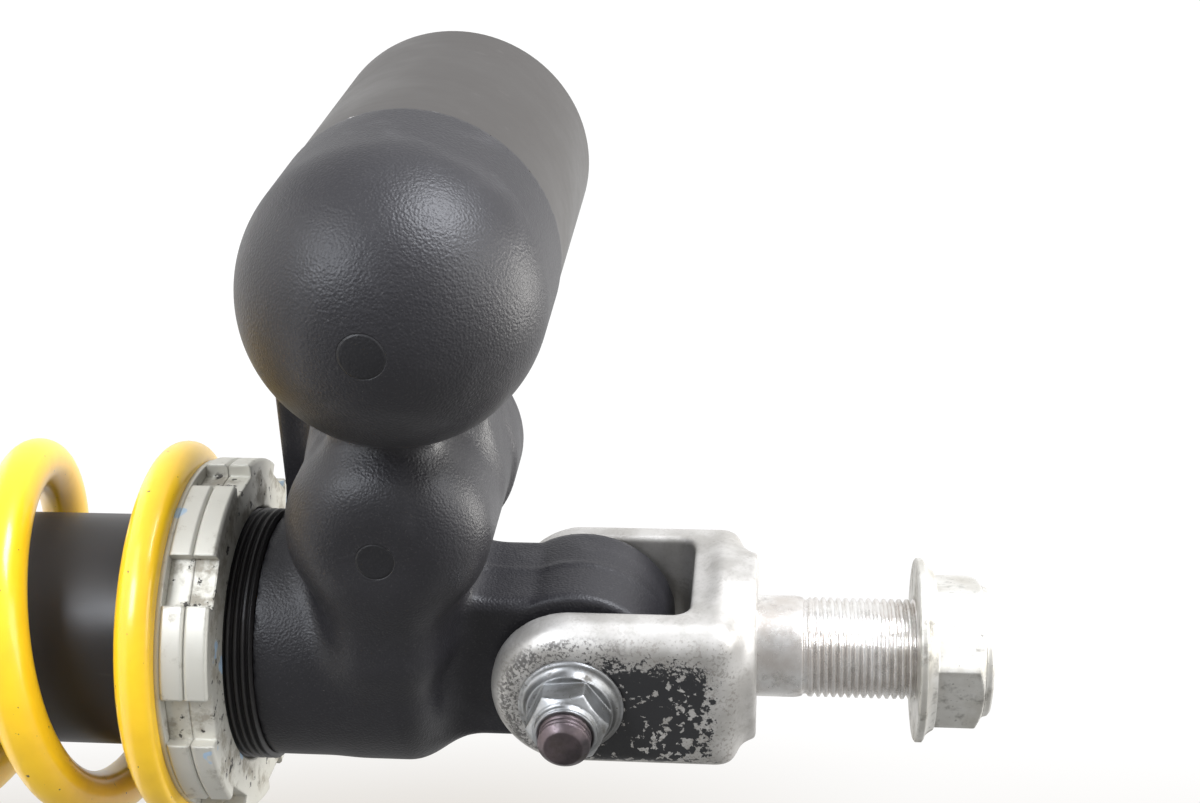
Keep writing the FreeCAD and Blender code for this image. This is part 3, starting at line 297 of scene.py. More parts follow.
def surface_of(field, low, high, cell):
    """Points and faces where a field is zero. Each cell whose corners differ in sign gives one point, the
    mean of where its edges cross, and each grid edge that crosses gives a face between its four cells.
    The points are then moved along the field's slope until it is zero there."""
    axes = [np.arange(a, b + cell, cell) for a, b in zip(low, high)]
    lattice = np.stack(np.meshgrid(*axes, indexing="ij"), -1)
    value = field(lattice)
    inside = value < 0
    size = np.array(value.shape)
    total, count = np.zeros((*(size - 1), 3)), np.zeros(size - 1)
    crossings = []
    for axis in range(3):
        first = [slice(None)] * 3
        second = [slice(None)] * 3
        first[axis], second[axis] = slice(0, -1), slice(1, None)
        a, b = value[tuple(first)], value[tuple(second)]
        crosses = inside[tuple(first)] != inside[tuple(second)]
        share = np.where(crosses, a / np.where(crosses, a - b, 1), 0)
        place = lattice[tuple(first)].copy()
        place[..., axis] += share * cell
        place *= crosses[..., None]
        others = [k for k in range(3) if k != axis]
        for da in (0, 1):
            for db in (0, 1):
                part = [slice(None)] * 3
                part[others[0]] = slice(da, size[others[0]] - 1 + da)
                part[others[1]] = slice(db, size[others[1]] - 1 + db)
                total += place[tuple(part)]
                count += crosses[tuple(part)]
        crossings.append((axis, others, crosses, inside[tuple(first)]))
    used = count > 0
    number = np.full(used.shape, -1)
    number[used] = np.arange(used.sum())
    points = total[used] / count[used][:, None]
    faces = [faces_across(number, *crossing) for crossing in crossings]
    return settle(field, points), np.concatenate(faces)


def faces_across(number, axis, others, crosses, starts_inside):
    """The faces between the four cells round each crossing edge, wound so that they face outwards."""
    where = np.argwhere(crosses)
    limit = np.array(number.shape)
    where = where[(where[:, others[0]] > 0) & (where[:, others[1]] > 0)]
    where = where[(where[:, others[0]] < limit[others[0]]) & (where[:, others[1]] < limit[others[1]])]
    corners = []
    for da, db in ((1, 1), (0, 1), (0, 0), (1, 0)):
        cells = where.copy()
        cells[:, others[0]] -= da
        cells[:, others[1]] -= db
        corners.append(number[tuple(cells.T)])
    quads = np.stack(corners, -1)
    flip = ~starts_inside[tuple(where.T)] ^ (axis == 1)
    quads[flip] = quads[flip][:, ::-1]
    return quads


def settle(field, points, steps=4, reach=0.05, stride=0.8, farthest=0.6, least_slope=0.3):
    """Moves points down the field's slope by their distance, which puts them on the surface."""
    points = points.copy()
    for _ in range(steps):
        here = field(points)
        slope = np.stack([field(points + reach * e) - here for e in np.eye(3)], -1) / reach
        slope /= np.maximum(np.linalg.norm(slope, axis=-1, keepdims=True), least_slope)
        points -= stride * slope * np.clip(here, -farthest, farthest)[:, None]
    return points


CAST_CELL, BRACKET_CELL = ((0.95, 0.72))
CAST_LOW, CAST_HIGH = (-113.2, -47.6, -98.0), (26.4, 26.0, -15.2)
cast_points, cast_faces = surface_of(casting, CAST_LOW, CAST_HIGH, CAST_CELL)
print("casting", len(cast_points), "points")

# %% Make the casting's object
cast_head = add_piece("cast_head", cast_points, cast_faces, "damper", 50.0)
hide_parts("head_casting")

# %% [markdown]
# ## The bracket
#
# The bracket is a casting too: a fork whose rounded base runs into a turned shoulder. The same distance
# functions make it. Its outline is a slot's, straight at the sides and round about the pivot, and a plane
# at 45 degrees to outline and face bevels the ears. The stud above it is turned, so it is a piece apart.

# %% The bracket's field

EAR_HALF, EAR_INNER, EAR_OUTER, EAR_BEVEL = 16.2, 14.0, 22.0, 3.2
BASE_LOW, BASE_HIGH, SHOULDER_RADIUS, SHOULDER_HEIGHT = -12.5, -3.2, 18.2, 7.0
PIVOT_BORE = 5.1
BLOCK_ROUNDING, GAP_ROUNDING, BEVEL_EDGE, GAP_EDGE, SHOULDER_FILLET = 4.5, 3.5, 1.6, 1.2, 6.0
FAR = 40.0


def bracket(p):
    """Rounded block cut to a slot's outline and bevelled, less its gap and bore, with the shoulder added."""
    x, y, z = p[..., 0], np.abs(p[..., 1]), p[..., 2]
    outline = np.where(z < PIVOT_Z, np.hypot(x, z - PIVOT_Z), np.abs(x)) - EAR_HALF
    block_high = (EAR_HALF, EAR_OUTER, BASE_HIGH)
    block = distance_to_block(p, (-EAR_HALF, -EAR_OUTER, -70.0), block_high, BLOCK_ROUNDING)
    bevel = (outline + y - EAR_OUTER + EAR_BEVEL) / 2 ** 0.5
    ears = cut(np.maximum(block, outline), -bevel, BEVEL_EDGE)
    gap = distance_to_block(p, (-FAR, -EAR_INNER, -2 * FAR), (FAR, EAR_INNER, BASE_LOW), GAP_ROUNDING)
    ears = cut(ears, gap, GAP_EDGE)
    foot = (0, 0, -SHOULDER_HEIGHT)
    shoulder = distance_to_cylinder(p, foot, ALONG_Z, SHOULDER_HEIGHT, SHOULDER_RADIUS, 0.6)
    ears = join(ears, shoulder, SHOULDER_FILLET)
    return np.maximum(ears, -distance_to_cylinder(p, (0, -30, PIVOT_Z), ALONG_Y, 60, PIVOT_BORE, 0.1))


BRACKET_LOW, BRACKET_HIGH = (-18.9, -23.4, -52.6), (19.2, 23.6, 1.2)
bracket_points, bracket_faces = surface_of(bracket, BRACKET_LOW, BRACKET_HIGH, BRACKET_CELL)
cast_bracket = add_piece("cast_bracket", bracket_points, bracket_faces, "upper_bracket_body")
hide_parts("upper_bracket")

# %% [markdown]
# ### The stud
#
# The stud is one surface of two parameters, the way round and the height. Its radius is the shank's, and
# above that the thread's: a wave along the height that moves up by one pitch in each turn, which is what
# makes it a helix and not a row of rings.

# %% The stud's radius

SHANK, CREST, STUD_TOP, PITCH, THREAD_DEPTH = 10.1, 9.9, 45.4, 1.5, 0.85
SHANK_TOP, SHANK_TAPER_FROM, RUN_IN_FROM, RUN_IN = 9.0, 8.2, 10.6, 1.2
UNDERCUT_AT, UNDERCUT = 9.9, 0.55
TIP_RADIUS = 8.9
STUD_COLUMNS = 96


def stud_radius(around, z):
    """The shank's radius, then the crest's less a flat wave of height less turn, with a bevelled tip."""
    wave = np.mod(z / PITCH - around / (2 * np.pi), 1.0)
    groove = np.clip(np.abs(wave - 0.5) * 3.2 - 0.55, 0, 1)
    starts = np.clip((z - RUN_IN_FROM) / RUN_IN, 0, 1)
    undercut = UNDERCUT * np.exp(-(((z - UNDERCUT_AT) / UNDERCUT) ** 4))
    thread = CREST - THREAD_DEPTH * groove * starts - undercut
    shank = SHANK - np.clip(z - SHANK_TAPER_FROM, 0, 0.7) * 0.4
    return np.minimum(np.where(z < SHANK_TOP, shank, thread), STUD_TOP - z + TIP_RADIUS)


shank_heights = np.arange(0.6, SHANK_TOP, 0.6)
thread_heights = np.arange(SHANK_TOP, STUD_TOP - 0.05, 0.14)
heights = np.concatenate([[-1.5, 0.0], shank_heights, thread_heights, [STUD_TOP]])
around = full_circle(STUD_COLUMNS)
radius = stud_radius(around[None, :], heights[:, None])
radius = np.concatenate([radius[:1] * 0, radius, radius[-1:] * 0])
levels = np.concatenate([[heights[0]], heights, [STUD_TOP]])[:, None]
stud_faces = grid_faces(len(levels), STUD_COLUMNS)
stud_points = turned_points(radius, around, levels)
stud = add_piece("turned_stud", stud_points, stud_faces, "upper_bracket_body", 50.0)
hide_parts("upper_bracket")

# %% [markdown]
# ## The coil spring
#
# A round wire is wound to the right. Its last turns are closed, so they lie flat, and are ground so that
# they stand square on their seats. The wire's middle line is a helix whose slope changes along the way:
# nearly none at both ends, and full between. A circle carried along that line, square to it, gives the
# wire, and the grinding is one line: what stands past the seat's plane is laid onto it.
#
# The spring crosses two joints, the preload adjuster's and the piston rod's, and it is made as two pieces.

# %% The wire's middle line

WIRE, COIL_RADIUS = 4.9, 34.25
TOP_ANGLE = 459.7
END_TURNS, EASE_TURNS = 0.6, 0.4
END_SLOPE, FULL_SLOPE = 2.6, 32.5
TIP_DROP = 1.4


def wire_height(turn, turns):
    """Height over the lower seat after some turns: the running sum of a slope that eases in and out."""
    ends = np.minimum(turn, turns - turn)
    ease = np.clip((ends - END_TURNS) / EASE_TURNS, 0, 1)
    slope = END_SLOPE + (FULL_SLOPE - END_SLOPE) * ease * ease * (3 - 2 * ease)
    steps = np.diff(turn) * (slope[1:] + slope[:-1]) / 2
    return np.concatenate([[0], np.cumsum(steps)])


RISE = SPRING_TOP - SPRING_BOTTOM - 2 * TIP_DROP
ACTIVE = (RISE - 2 * END_TURNS * END_SLOPE - EASE_TURNS * (END_SLOPE + FULL_SLOPE)) / FULL_SLOPE
TURNS = ACTIVE + 2 * END_TURNS + 2 * EASE_TURNS
RINGS, SIDES = 620, 28
turn = np.linspace(0, TURNS, RINGS)
height = wire_height(turn, TURNS)
height = SPRING_BOTTOM + TIP_DROP + height * RISE / height[-1]
angle = np.radians(TOP_ANGLE - 360 * (TURNS - turn))
print("turns", round(TURNS, 2), "from", height[0].round(2), "to", height[-1].round(2))

# %% The wire and its two pieces


def wound_wire(first, last):
    """Points of a circle carried along the helix between two of its rings: out along the radius by the
    cosine, and along the wire's own upward normal by the sine."""
    at = slice(first, last + 1)
    around = full_circle(SIDES)
    out = np.stack([np.cos(angle[at]), np.sin(angle[at]), 0 * angle[at]], -1)
    climb = np.gradient(height, angle)[at]
    level = np.stack([-np.sin(angle[at]), np.cos(angle[at]), 0 * angle[at]], -1)
    along = level * COIL_RADIUS + np.array([0, 0, 1.0]) * climb[:, None]
    along /= np.linalg.norm(along, axis=-1, keepdims=True)
    up = np.cross(out, along) * -1
    centre = out * COIL_RADIUS + np.array([0, 0, 1.0]) * height[at][:, None]
    circle = out[:, None] * np.cos(around)[:, None] + up[:, None] * np.sin(around)[:, None]
    shell = centre[:, None] + WIRE * circle
    shell[..., 2] = np.clip(shell[..., 2], SPRING_BOTTOM, SPRING_TOP)
    return shell


def spring_piece(name, first, last):
    """One stretch of the wire as a closed piece."""
    shell = wound_wire(first, last)
    rings = len(shell)
    faces = grid_faces(rings, SIDES)
    faces += [list(range(SIDES))[::-1], list(range((rings - 1) * SIDES, rings * SIDES))]
    piece = add_piece(name, shell.reshape(-1, 3), faces, None, 60.0)
    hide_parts("coil_spring")
    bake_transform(piece)
    return piece


# The top piece holds the upper turns of the wire, and the main piece the rest.
TOP_TURNS = 2.2
split = RINGS - 1 - int(RINGS * TOP_TURNS / TURNS)
spring_low = spring_piece("spring_main_turns", 0, split)
spring_high = spring_piece("spring_top_turns", split, RINGS - 1)

# %% [markdown]
# ## The nuts
#
# A flange nut is a turned part whose waist is a hexagon. As a surface it has two parameters, the way
# round and the way along its outline. The radius is the outline's own, or the hexagon's where that is
# smaller, so the corners' chamfers come by themselves as hyperbolas, as on a real nut.

# %% A turned part with a hexagonal waist


def hexagon_radius(around, flats, phase):
    """Distance to the side of a hexagon in each direction: half the flats over the cosine to the side."""
    sector = np.mod(around - phase + np.pi / 6, np.pi / 3) - np.pi / 6
    return flats / 2 / np.cos(sector)


def turned_nut(rows, flats, phase, columns=180):
    """Rows of (height, radius, is the hexagon in force), turned about Z."""
    around = full_circle(columns)
    limit = hexagon_radius(around, flats, phase)
    height, radius, is_hexagon = np.array(rows, float).T[..., None]
    radius = np.where(is_hexagon > 0, np.minimum(radius, limit), radius + 0 * around)
    return turned_points(radius, around, height), grid_faces(len(rows), columns, close_rows=True)


def corner_radius(flats):
    """From a hexagon's middle to its corner."""
    return flats / 2 / math.cos(math.pi / 6)


FLANGE_FILLET = 1.9


def flange_nut_rows(base, flange, flange_edge, flats, top, collar, collar_top, bore):
    """The outline of a flange nut: its bore's foot, the flange, the hexagon and the crimped collar."""
    corner = corner_radius(flats)
    waist, lip = corner + 0.2, flange - 0.4
    edge = base + flange_edge
    foot = edge + FLANGE_FILLET
    rows = [(base + 0.4, bore, 0), (base, bore + 0.6, 0), (base, lip, 0), (base + 0.3, flange, 0)]
    rows += [(edge - 0.3, flange, 0), (edge, lip, 0)]
    for t in np.linspace(0, 1, 7)[1:]:
        rows.append((edge + FLANGE_FILLET * t * t, lip - (lip - waist) * t, 0))
    rows += [(foot + 0.05, waist, 1)]
    rows += [(z, waist, 1) for z in np.linspace(foot + 0.3, top - 2.0, 4)]
    for t in np.linspace(0, 1, 9):
        rows.append((top - 1.9 + 1.9 * t, corner + 0.35 - (corner - flats / 2 + 0.9) * t ** 1.2, 1))
    rows += [(top, collar + 0.2, 0), (top + 0.2, collar, 0), (collar_top - 0.5, collar - 0.25, 0)]
    rows += [(collar_top - 0.12, collar - 0.7, 0), (collar_top, collar - 1.2, 0)]
    return rows + [(collar_top, bore + 0.8, 0), (collar_top - 0.8, bore, 0)]


STUD_FLATS, STUD_NUT_TURN = 27.0, math.radians(41.6)
nut_rows = flange_nut_rows(31.4, 18.2, 1.7, STUD_FLATS, 44.4, 12.9, 46.0, 10.0)
nut_points, nut_faces = turned_nut(nut_rows, STUD_FLATS, STUD_NUT_TURN)
stud_nut = add_piece("stud_flange_nut", nut_points, nut_faces, "upper_bracket_body", 25.0)
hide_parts("stud_nut")

# %% The pivot bolt's nut


def lay_along(points, height):
    """Turns points from the Z axis to the Y axis and lifts them to a height."""
    return np.stack([points[:, 0], points[:, 2], -points[:, 1] + height], -1)


PIVOT_FLATS, PIVOT_NUT_TURN, PIVOT_HEAD_TURN = 14.0, math.radians(-5), 0.3
small_rows = flange_nut_rows(22.0, 10.2, 1.1, PIVOT_FLATS, 30.6, 6.1, 32.0, 5.06)
small_points, small_faces = turned_nut(small_rows, PIVOT_FLATS, PIVOT_NUT_TURN)
small_points[:, 2] *= -1
small_points = lay_along(small_points, PIVOT_Z)
pivot_nut = add_piece("pivot_flange_nut", small_points, small_faces, "upper_bracket_body", 25.0)
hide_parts("pivot_nut")

# %% The pivot bolt

BOLT_CREST, BOLT_ROOT, BOLT_PITCH = 4.98, 4.5, 1.25
THREAD_SHAPE = (
    (0.1, BOLT_CREST), (0.35, BOLT_CREST), (0.62, BOLT_ROOT), (0.72, BOLT_ROOT), (1.1, BOLT_CREST),
)


def bolt_rows(tip, thread_from, head, flange, flats, head_top):
    """The outline of a flange bolt from its chamfered tip: fine threads, a plain shank and the head."""
    corner = corner_radius(flats)
    waist, lip = corner + 0.2, flange - 0.4
    rows = [(tip, 0.0, 0), (tip, 3.6, 0), (tip + 0.25, 3.95, 0), (tip + 1.2, 4.85, 0)]
    for z in np.arange(tip + 1.2, thread_from, BOLT_PITCH):
        rows += [(z + up, radius, 0) for up, radius in THREAD_SHAPE]
    rows += [(thread_from + 1.5, 5.0, 0), (head - 0.4, 5.0, 0), (head, 5.4, 0), (head, flange - 0.3, 0)]
    rows += [(head + 0.3, flange, 0), (head + 0.8, flange, 0), (head + 1.1, lip, 0)]
    for t in np.linspace(0.2, 1, 5):
        rows.append((head + 1.1 + 1.2 * t * t, lip - (flange - 0.6 - corner) * t, 0))
    rows += [(head + 2.35, waist, 1), (head_top - 1.4, waist, 1)]
    for t in np.linspace(0.1, 1, 7):
        rows.append((head_top - 1.4 + 1.4 * t, waist - (corner - flats / 2 + 0.8) * t, 1))
    return rows + [(head_top, 3.4, 0), (head_top - 0.5, 3.0, 0), (head_top - 0.6, 0.0, 0)]


rows_of_bolt = bolt_rows(-36.0, -21.0, 22.0, 10.0, PIVOT_FLATS, 30.0)
bolt_points, bolt_faces = turned_nut(rows_of_bolt, PIVOT_FLATS, PIVOT_HEAD_TURN)
bolt_points[:, 2] *= -1
bolt_points = lay_along(bolt_points, PIVOT_Z)
bolt_points[:, 1] *= -1
bolt_faces = [face[::-1] for face in bolt_faces]
pivot_bolt = add_piece("pivot_flange_bolt", bolt_points, bolt_faces, "upper_bracket_body", 25.0)
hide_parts("pivot_bolt")

# %% [markdown]
# ## Finishes
#
# A finish is a small graph: where on the piece, a few layers of noise at real sizes, and thresholds that
# turn noise into flakes, dust or grime. Worn edges come from comparing the true face with a rounded one,
# which differ only near an edge. All patterns read the piece's own coordinates, in metres, so a noise
# scale of 1000 gives grains of about a millimetre.

# %% A few words for graphs


def finish_called(name):
    """A new material and its graph."""
    material = bpy.data.materials.new(name)
    material.use_nodes = True
    return material, material.node_tree


def node(graph, kind, inputs=None, output=0, **settings):
    """Adds a node, sets or links its inputs by name or number, and gives back one output."""
    made = graph.nodes.new(kind)
    for key, value in settings.items():
        setattr(made, key, value)
    for key, value in (inputs or {}).items():
        socket = made.inputs[key]
        if isinstance(value, bpy.types.NodeSocket):
            graph.links.new(value, socket)
        else:
            socket.default_value = value
    return made.outputs[output]


def noise(graph, where, scale, detail=3.0, rough=0.55, distortion=0.0):
    """Cloudy noise from 0 to 1, with grains of about a metre over the scale."""
    inputs = {"Vector": where, "Scale": scale, "Detail": detail, "Roughness": rough, "Distortion": distortion}
    return node(graph, "ShaderNodeTexNoise", inputs)


def threshold(graph, value, low, high, to_low=0.0, to_high=1.0):
    """A soft step between two levels of a value."""
    inputs = {"Value": value, "From Min": low, "From Max": high, "To Min": to_low, "To Max": to_high}
    return node(graph, "ShaderNodeMapRange", inputs, interpolation_type="SMOOTHSTEP")


def sum_of(graph, a, b, operation="ADD"):
    """Two values added, or joined by another operation."""
    return node(graph, "ShaderNodeMath", {0: a, 1: b}, operation=operation)


def times(graph, a, b):
    """Two values multiplied."""
    return sum_of(graph, a, b, "MULTIPLY")


def part_of(graph, where, axis):
    """One coordinate of a place: 0, 1 or 2 for X, Y or Z."""
    return node(graph, "ShaderNodeSeparateXYZ", {0: where}, output=axis)


def opaque(colour):
    """A colour with its fourth number, and anything else as it is."""
    return (*colour, 1) if isinstance(colour, tuple) and len(colour) == 3 else colour


def mixed(graph, share, a, b):
    """One colour into another by a share."""
    return node(graph, "ShaderNodeMix", {0: share, 6: opaque(a), 7: opaque(b)}, output=2, data_type="RGBA")


def blended(graph, share, a, b):
    """One number into another by a share."""
    return node(graph, "ShaderNodeMix", {0: share, 2: a, 3: b}, output=0, data_type="FLOAT")


def coordinates(graph):
    """Where on the piece a point is, in metres."""
    return node(graph, "ShaderNodeTexCoord", output="Object")


def agreement(graph, a, b):
    """The dot product of two directions."""
    return node(graph, "ShaderNodeVectorMath", {0: a, 1: b}, output="Value", operation="DOT_PRODUCT")


def reach_of(graph, place, kept):
    """How far a place is from the origin, along only the axes whose number in kept is 1."""
    flat = node(graph, "ShaderNodeVectorMath", {0: place, 1: kept}, operation="MULTIPLY")
    return node(graph, "ShaderNodeVectorMath", {0: flat}, output="Value", operation="LENGTH")


def edges(graph, reach):
    """Nearly 1 on edges and 0 on flats: how far a face rounded over a reach turns from the true one."""
    rounded = node(graph, "ShaderNodeBevel", {"Radius": reach}, samples=4)
    true = node(graph, "ShaderNodeNewGeometry", output="Normal")
    return threshold(graph, agreement(graph, rounded, true), 0.99, 0.80)


def relief(graph, height, strength, distance, rounding=None):
    """Bumps from a height, over faces that may be rounded at their edges."""
    inputs = {"Height": height, "Strength": strength, "Distance": distance}
    if rounding:
        inputs["Normal"] = node(graph, "ShaderNodeBevel", {"Radius": rounding}, samples=4)
    return node(graph, "ShaderNodeBump", inputs)


def surface(graph, colour, roughness, normal=None, **constants):
    """Sets the shader at the graph's end: sockets by name, with numbers or links."""
    shader = next(n for n in graph.nodes if n.type == "BSDF_PRINCIPLED")
    values = {"Base Color": colour, "Roughness": roughness}
    if normal is not None:
        values["Normal"] = normal
    values.update({key.replace("_", " "): value for key, value in constants.items()})
    for key, value in values.items():
        if isinstance(value, bpy.types.NodeSocket):
            graph.links.new(value, shader.inputs[key])
        else:
            shader.inputs[key].default_value = opaque(value)


print("graph words ready")

# %% [markdown]
# ### Crackle coat on the casting
#
# The casting has a satin charcoal coat with a leathery grain of about a millimetre. Handling has knocked
# small bright chips into it, mostly on edges, and dust settles in the grain. Round marks from the mould's
# ejector pins are pressed into the dome's tip and the boss's nose.

# %% Crackle coat


def pin_mark(graph, where, centre, radius, width=0.14):
    """A thin ring and its disc about an axis along Y, each 1 inside, on the casting's front only."""
    to_axis = (-centre[0] * MM, 0, -centre[2] * MM)
    moved = node(graph, "ShaderNodeVectorMath", {0: where, 1: to_axis}, operation="ADD")
    reach = reach_of(graph, moved, (1.0, 0.0, 1.0))
    inside = threshold(graph, reach, (radius + width) * MM, radius * MM)
    ring = times(graph, inside, threshold(graph, reach, (radius - 3 * width) * MM, radius * MM))
    is_front = threshold(graph, part_of(graph, where, 1), -0.019, -0.022)
    return times(graph, ring, is_front), times(graph, inside, is_front)


def crackle_coat():
    """Charcoal coat: pebbles with soft valleys, a cloudy tone, dust in the grain, chips and pressed marks."""
    material, graph = finish_called("crackle_coat")
    where = coordinates(graph)
    swirl = noise(graph, where, 1350, 2.0, 0.5, 0.6)
    grain = {"Vector": where, "Scale": 2150.0, "Smoothness": 0.8}
    pebbles = node(graph, "ShaderNodeTexVoronoi", grain, feature="SMOOTH_F1")
    broad = noise(graph, where, 45, 3.0)
    rubbed = threshold(graph, noise(graph, where, 75, 4.0, 0.6, 0.6), 0.52, 0.72)
    dust = threshold(graph, noise(graph, where, 3000, 2.0), 0.58, 0.74)
    lint = threshold(graph, noise(graph, where, 850, 4.0, 0.7, 1.5), 0.715, 0.745)
    chips_here = noise(graph, where, 150, 5.0, 0.65, 0.4)
    chips_here = sum_of(graph, chips_here, times(graph, edges(graph, 0.0009), 0.07))
    on_dome = threshold(graph, part_of(graph, where, 0), -0.054, -0.058)
    at_joint = times(graph, threshold(graph, part_of(graph, where, 1), -0.0010, -0.0002), on_dome)
    chips_here = sum_of(graph, chips_here, times(graph, at_joint, 0.140))
    chips = threshold(graph, chips_here, 0.745, 0.765)
    dome_ring, dome_disc = pin_mark(graph, where, RESERVOIR, 4.1)
    boss_ring, boss_disc = pin_mark(graph, where, BOSS, 3.6)
    coat = mixed(graph, broad, (0.0120, 0.0115, 0.0135), (0.0195, 0.0187, 0.0215))
    coat = mixed(graph, times(graph, rubbed, 0.35), coat, (0.034, 0.033, 0.036))
    coat = mixed(graph, times(graph, dust, 0.14), coat, (0.16, 0.155, 0.15))
    coat = mixed(graph, times(graph, lint, 0.45), coat, (0.30, 0.29, 0.28))
    coat = mixed(graph, times(graph, sum_of(graph, dome_disc, boss_disc), 0.60), coat, (0.006, 0.006, 0.007))
    coat = mixed(graph, chips, coat, (0.42, 0.41, 0.40))
    rough = sum_of(graph, threshold(graph, broad, 0.3, 0.7, 0.42, 0.50), times(graph, rubbed, -0.05))
    height = sum_of(graph, sum_of(graph, pebbles, times(graph, swirl, 0.7)), times(graph, chips, -1.5))
    height = sum_of(graph, height, times(graph, sum_of(graph, dome_ring, boss_ring), -3.0))
    surface(graph, coat, rough, relief(graph, height, 0.55, 0.00014), Specular_IOR_Level=0.36)
    return material


# %% Satin black tube, matte reservoir and glossy spring


def smooth_black(name, dark, light, rough, scratches):
    """A thin smooth coat with long faint rub marks and a little dust."""
    material, graph = finish_called(name)
    where = coordinates(graph)
    along = node(graph, "ShaderNodeMapping", {"Vector": where, "Scale": (1.0, 1.0, 0.12)})
    rub = noise(graph, along, 420, 4.0, 0.6)
    fine = noise(graph, where, 3000, 2.0)
    cloud = noise(graph, where, 38, 3.0)
    colour = mixed(graph, cloud, dark, light)
    worn = times(graph, threshold(graph, rub, 0.62, 0.75), scratches)
    colour = mixed(graph, worn, colour, (0.20, 0.19, 0.18))
    roughness = threshold(graph, cloud, 0.3, 0.7, rough - 0.05, rough + 0.06)
    roughness = sum_of(graph, roughness, times(graph, rub, 0.08))
    surface(graph, colour, roughness, relief(graph, sum_of(graph, fine, rub), 0.12, 0.00005, 0.0004),
            Specular_IOR_Level=0.40)
    return material


def glossy_spring():
    """Thick yellow powder coat: soft waves, dark specks of grit and a few scuffs through to the primer."""
    material, graph = finish_called("yellow_powder_coat")
    where = coordinates(graph)
    waves = noise(graph, where, 260, 2.0)
    specks = threshold(graph, noise(graph, where, 800, 2.0), 0.725, 0.75)
    scuffs = threshold(graph, noise(graph, where, 105, 5.0, 0.65, 0.5), 0.675, 0.70)
    grime = threshold(graph, noise(graph, where, 60, 4.0), 0.52, 0.80)
    colour = mixed(graph, waves, (0.86, 0.51, 0.010), (0.92, 0.58, 0.018))
    colour = mixed(graph, times(graph, grime, 0.35), colour, (0.52, 0.28, 0.012))
    colour = mixed(graph, times(graph, scuffs, 0.8), colour, (0.09, 0.075, 0.05))
    colour = mixed(graph, specks, colour, (0.10, 0.08, 0.04))
    rough = sum_of(graph, 0.30, times(graph, sum_of(graph, scuffs, grime, "MAXIMUM"), 0.22))
    height = sum_of(graph, waves, times(graph, scuffs, -0.6))
    surface(graph, colour, rough, relief(graph, height, 0.15, 0.0002), Coat_Weight=0.35, Coat_Roughness=0.10)
    return material


# %% Bare, plated and turned metal


METAL_ROUNDING = 0.0005


def worn_metal(name, bright, dull, rough, grime, turned, metallic):
    """Bare or plated metal: fine grain, turning marks round Z, and grime that gathers away from edges."""
    material, graph = finish_called(name)
    where = coordinates(graph)
    cloud = noise(graph, where, 90, 5.0, 0.6)
    fine = noise(graph, where, 1400, 3.0)
    dirt = threshold(graph, noise(graph, where, 230, 5.0, 0.65), 0.50, 0.70)
    specks = threshold(graph, noise(graph, where, 900, 4.0, 0.7), 0.62, 0.68)
    edge = edges(graph, METAL_ROUNDING * 1.5)
    clean = sum_of(graph, 1.0, edge, "SUBTRACT")
    dirty = times(graph, times(graph, sum_of(graph, dirt, specks, "MAXIMUM"), clean), grime)
    colour = mixed(graph, threshold(graph, cloud, 0.35, 0.65), dull, bright)
    colour = mixed(graph, times(graph, edge, 0.5), colour, tuple(min(1.0, c * 1.15) for c in bright))
    colour = mixed(graph, dirty, colour, (0.07, 0.06, 0.045))
    height = fine
    if turned:
        rings = node(graph, "ShaderNodeMapping", {"Vector": where, "Scale": (0.02, 0.02, 1.0)})
        height = sum_of(graph, fine, times(graph, noise(graph, rings, 2600, 2.0), turned))
    roughness = sum_of(graph, times(graph, fine, 0.14), times(graph, dirty, 0.5))
    roughness = sum_of(graph, roughness, rough - 0.06)
    surface(graph, colour, roughness, relief(graph, height, 0.18, 0.00006, METAL_ROUNDING), Metallic=metallic)
    return material


# %% [markdown]
# ### The bracket
#
# The bracket is cast aluminium that was painted black once. On its outer face the paint still holds in
# the middle, broken into flakes, and towards the rim it has gone to a sandy, speckled grey. The rest is
# bare. The paint's limit is a mask in the ear's own plane, and noise breaks it up.

# %% Flaking paint on the bracket


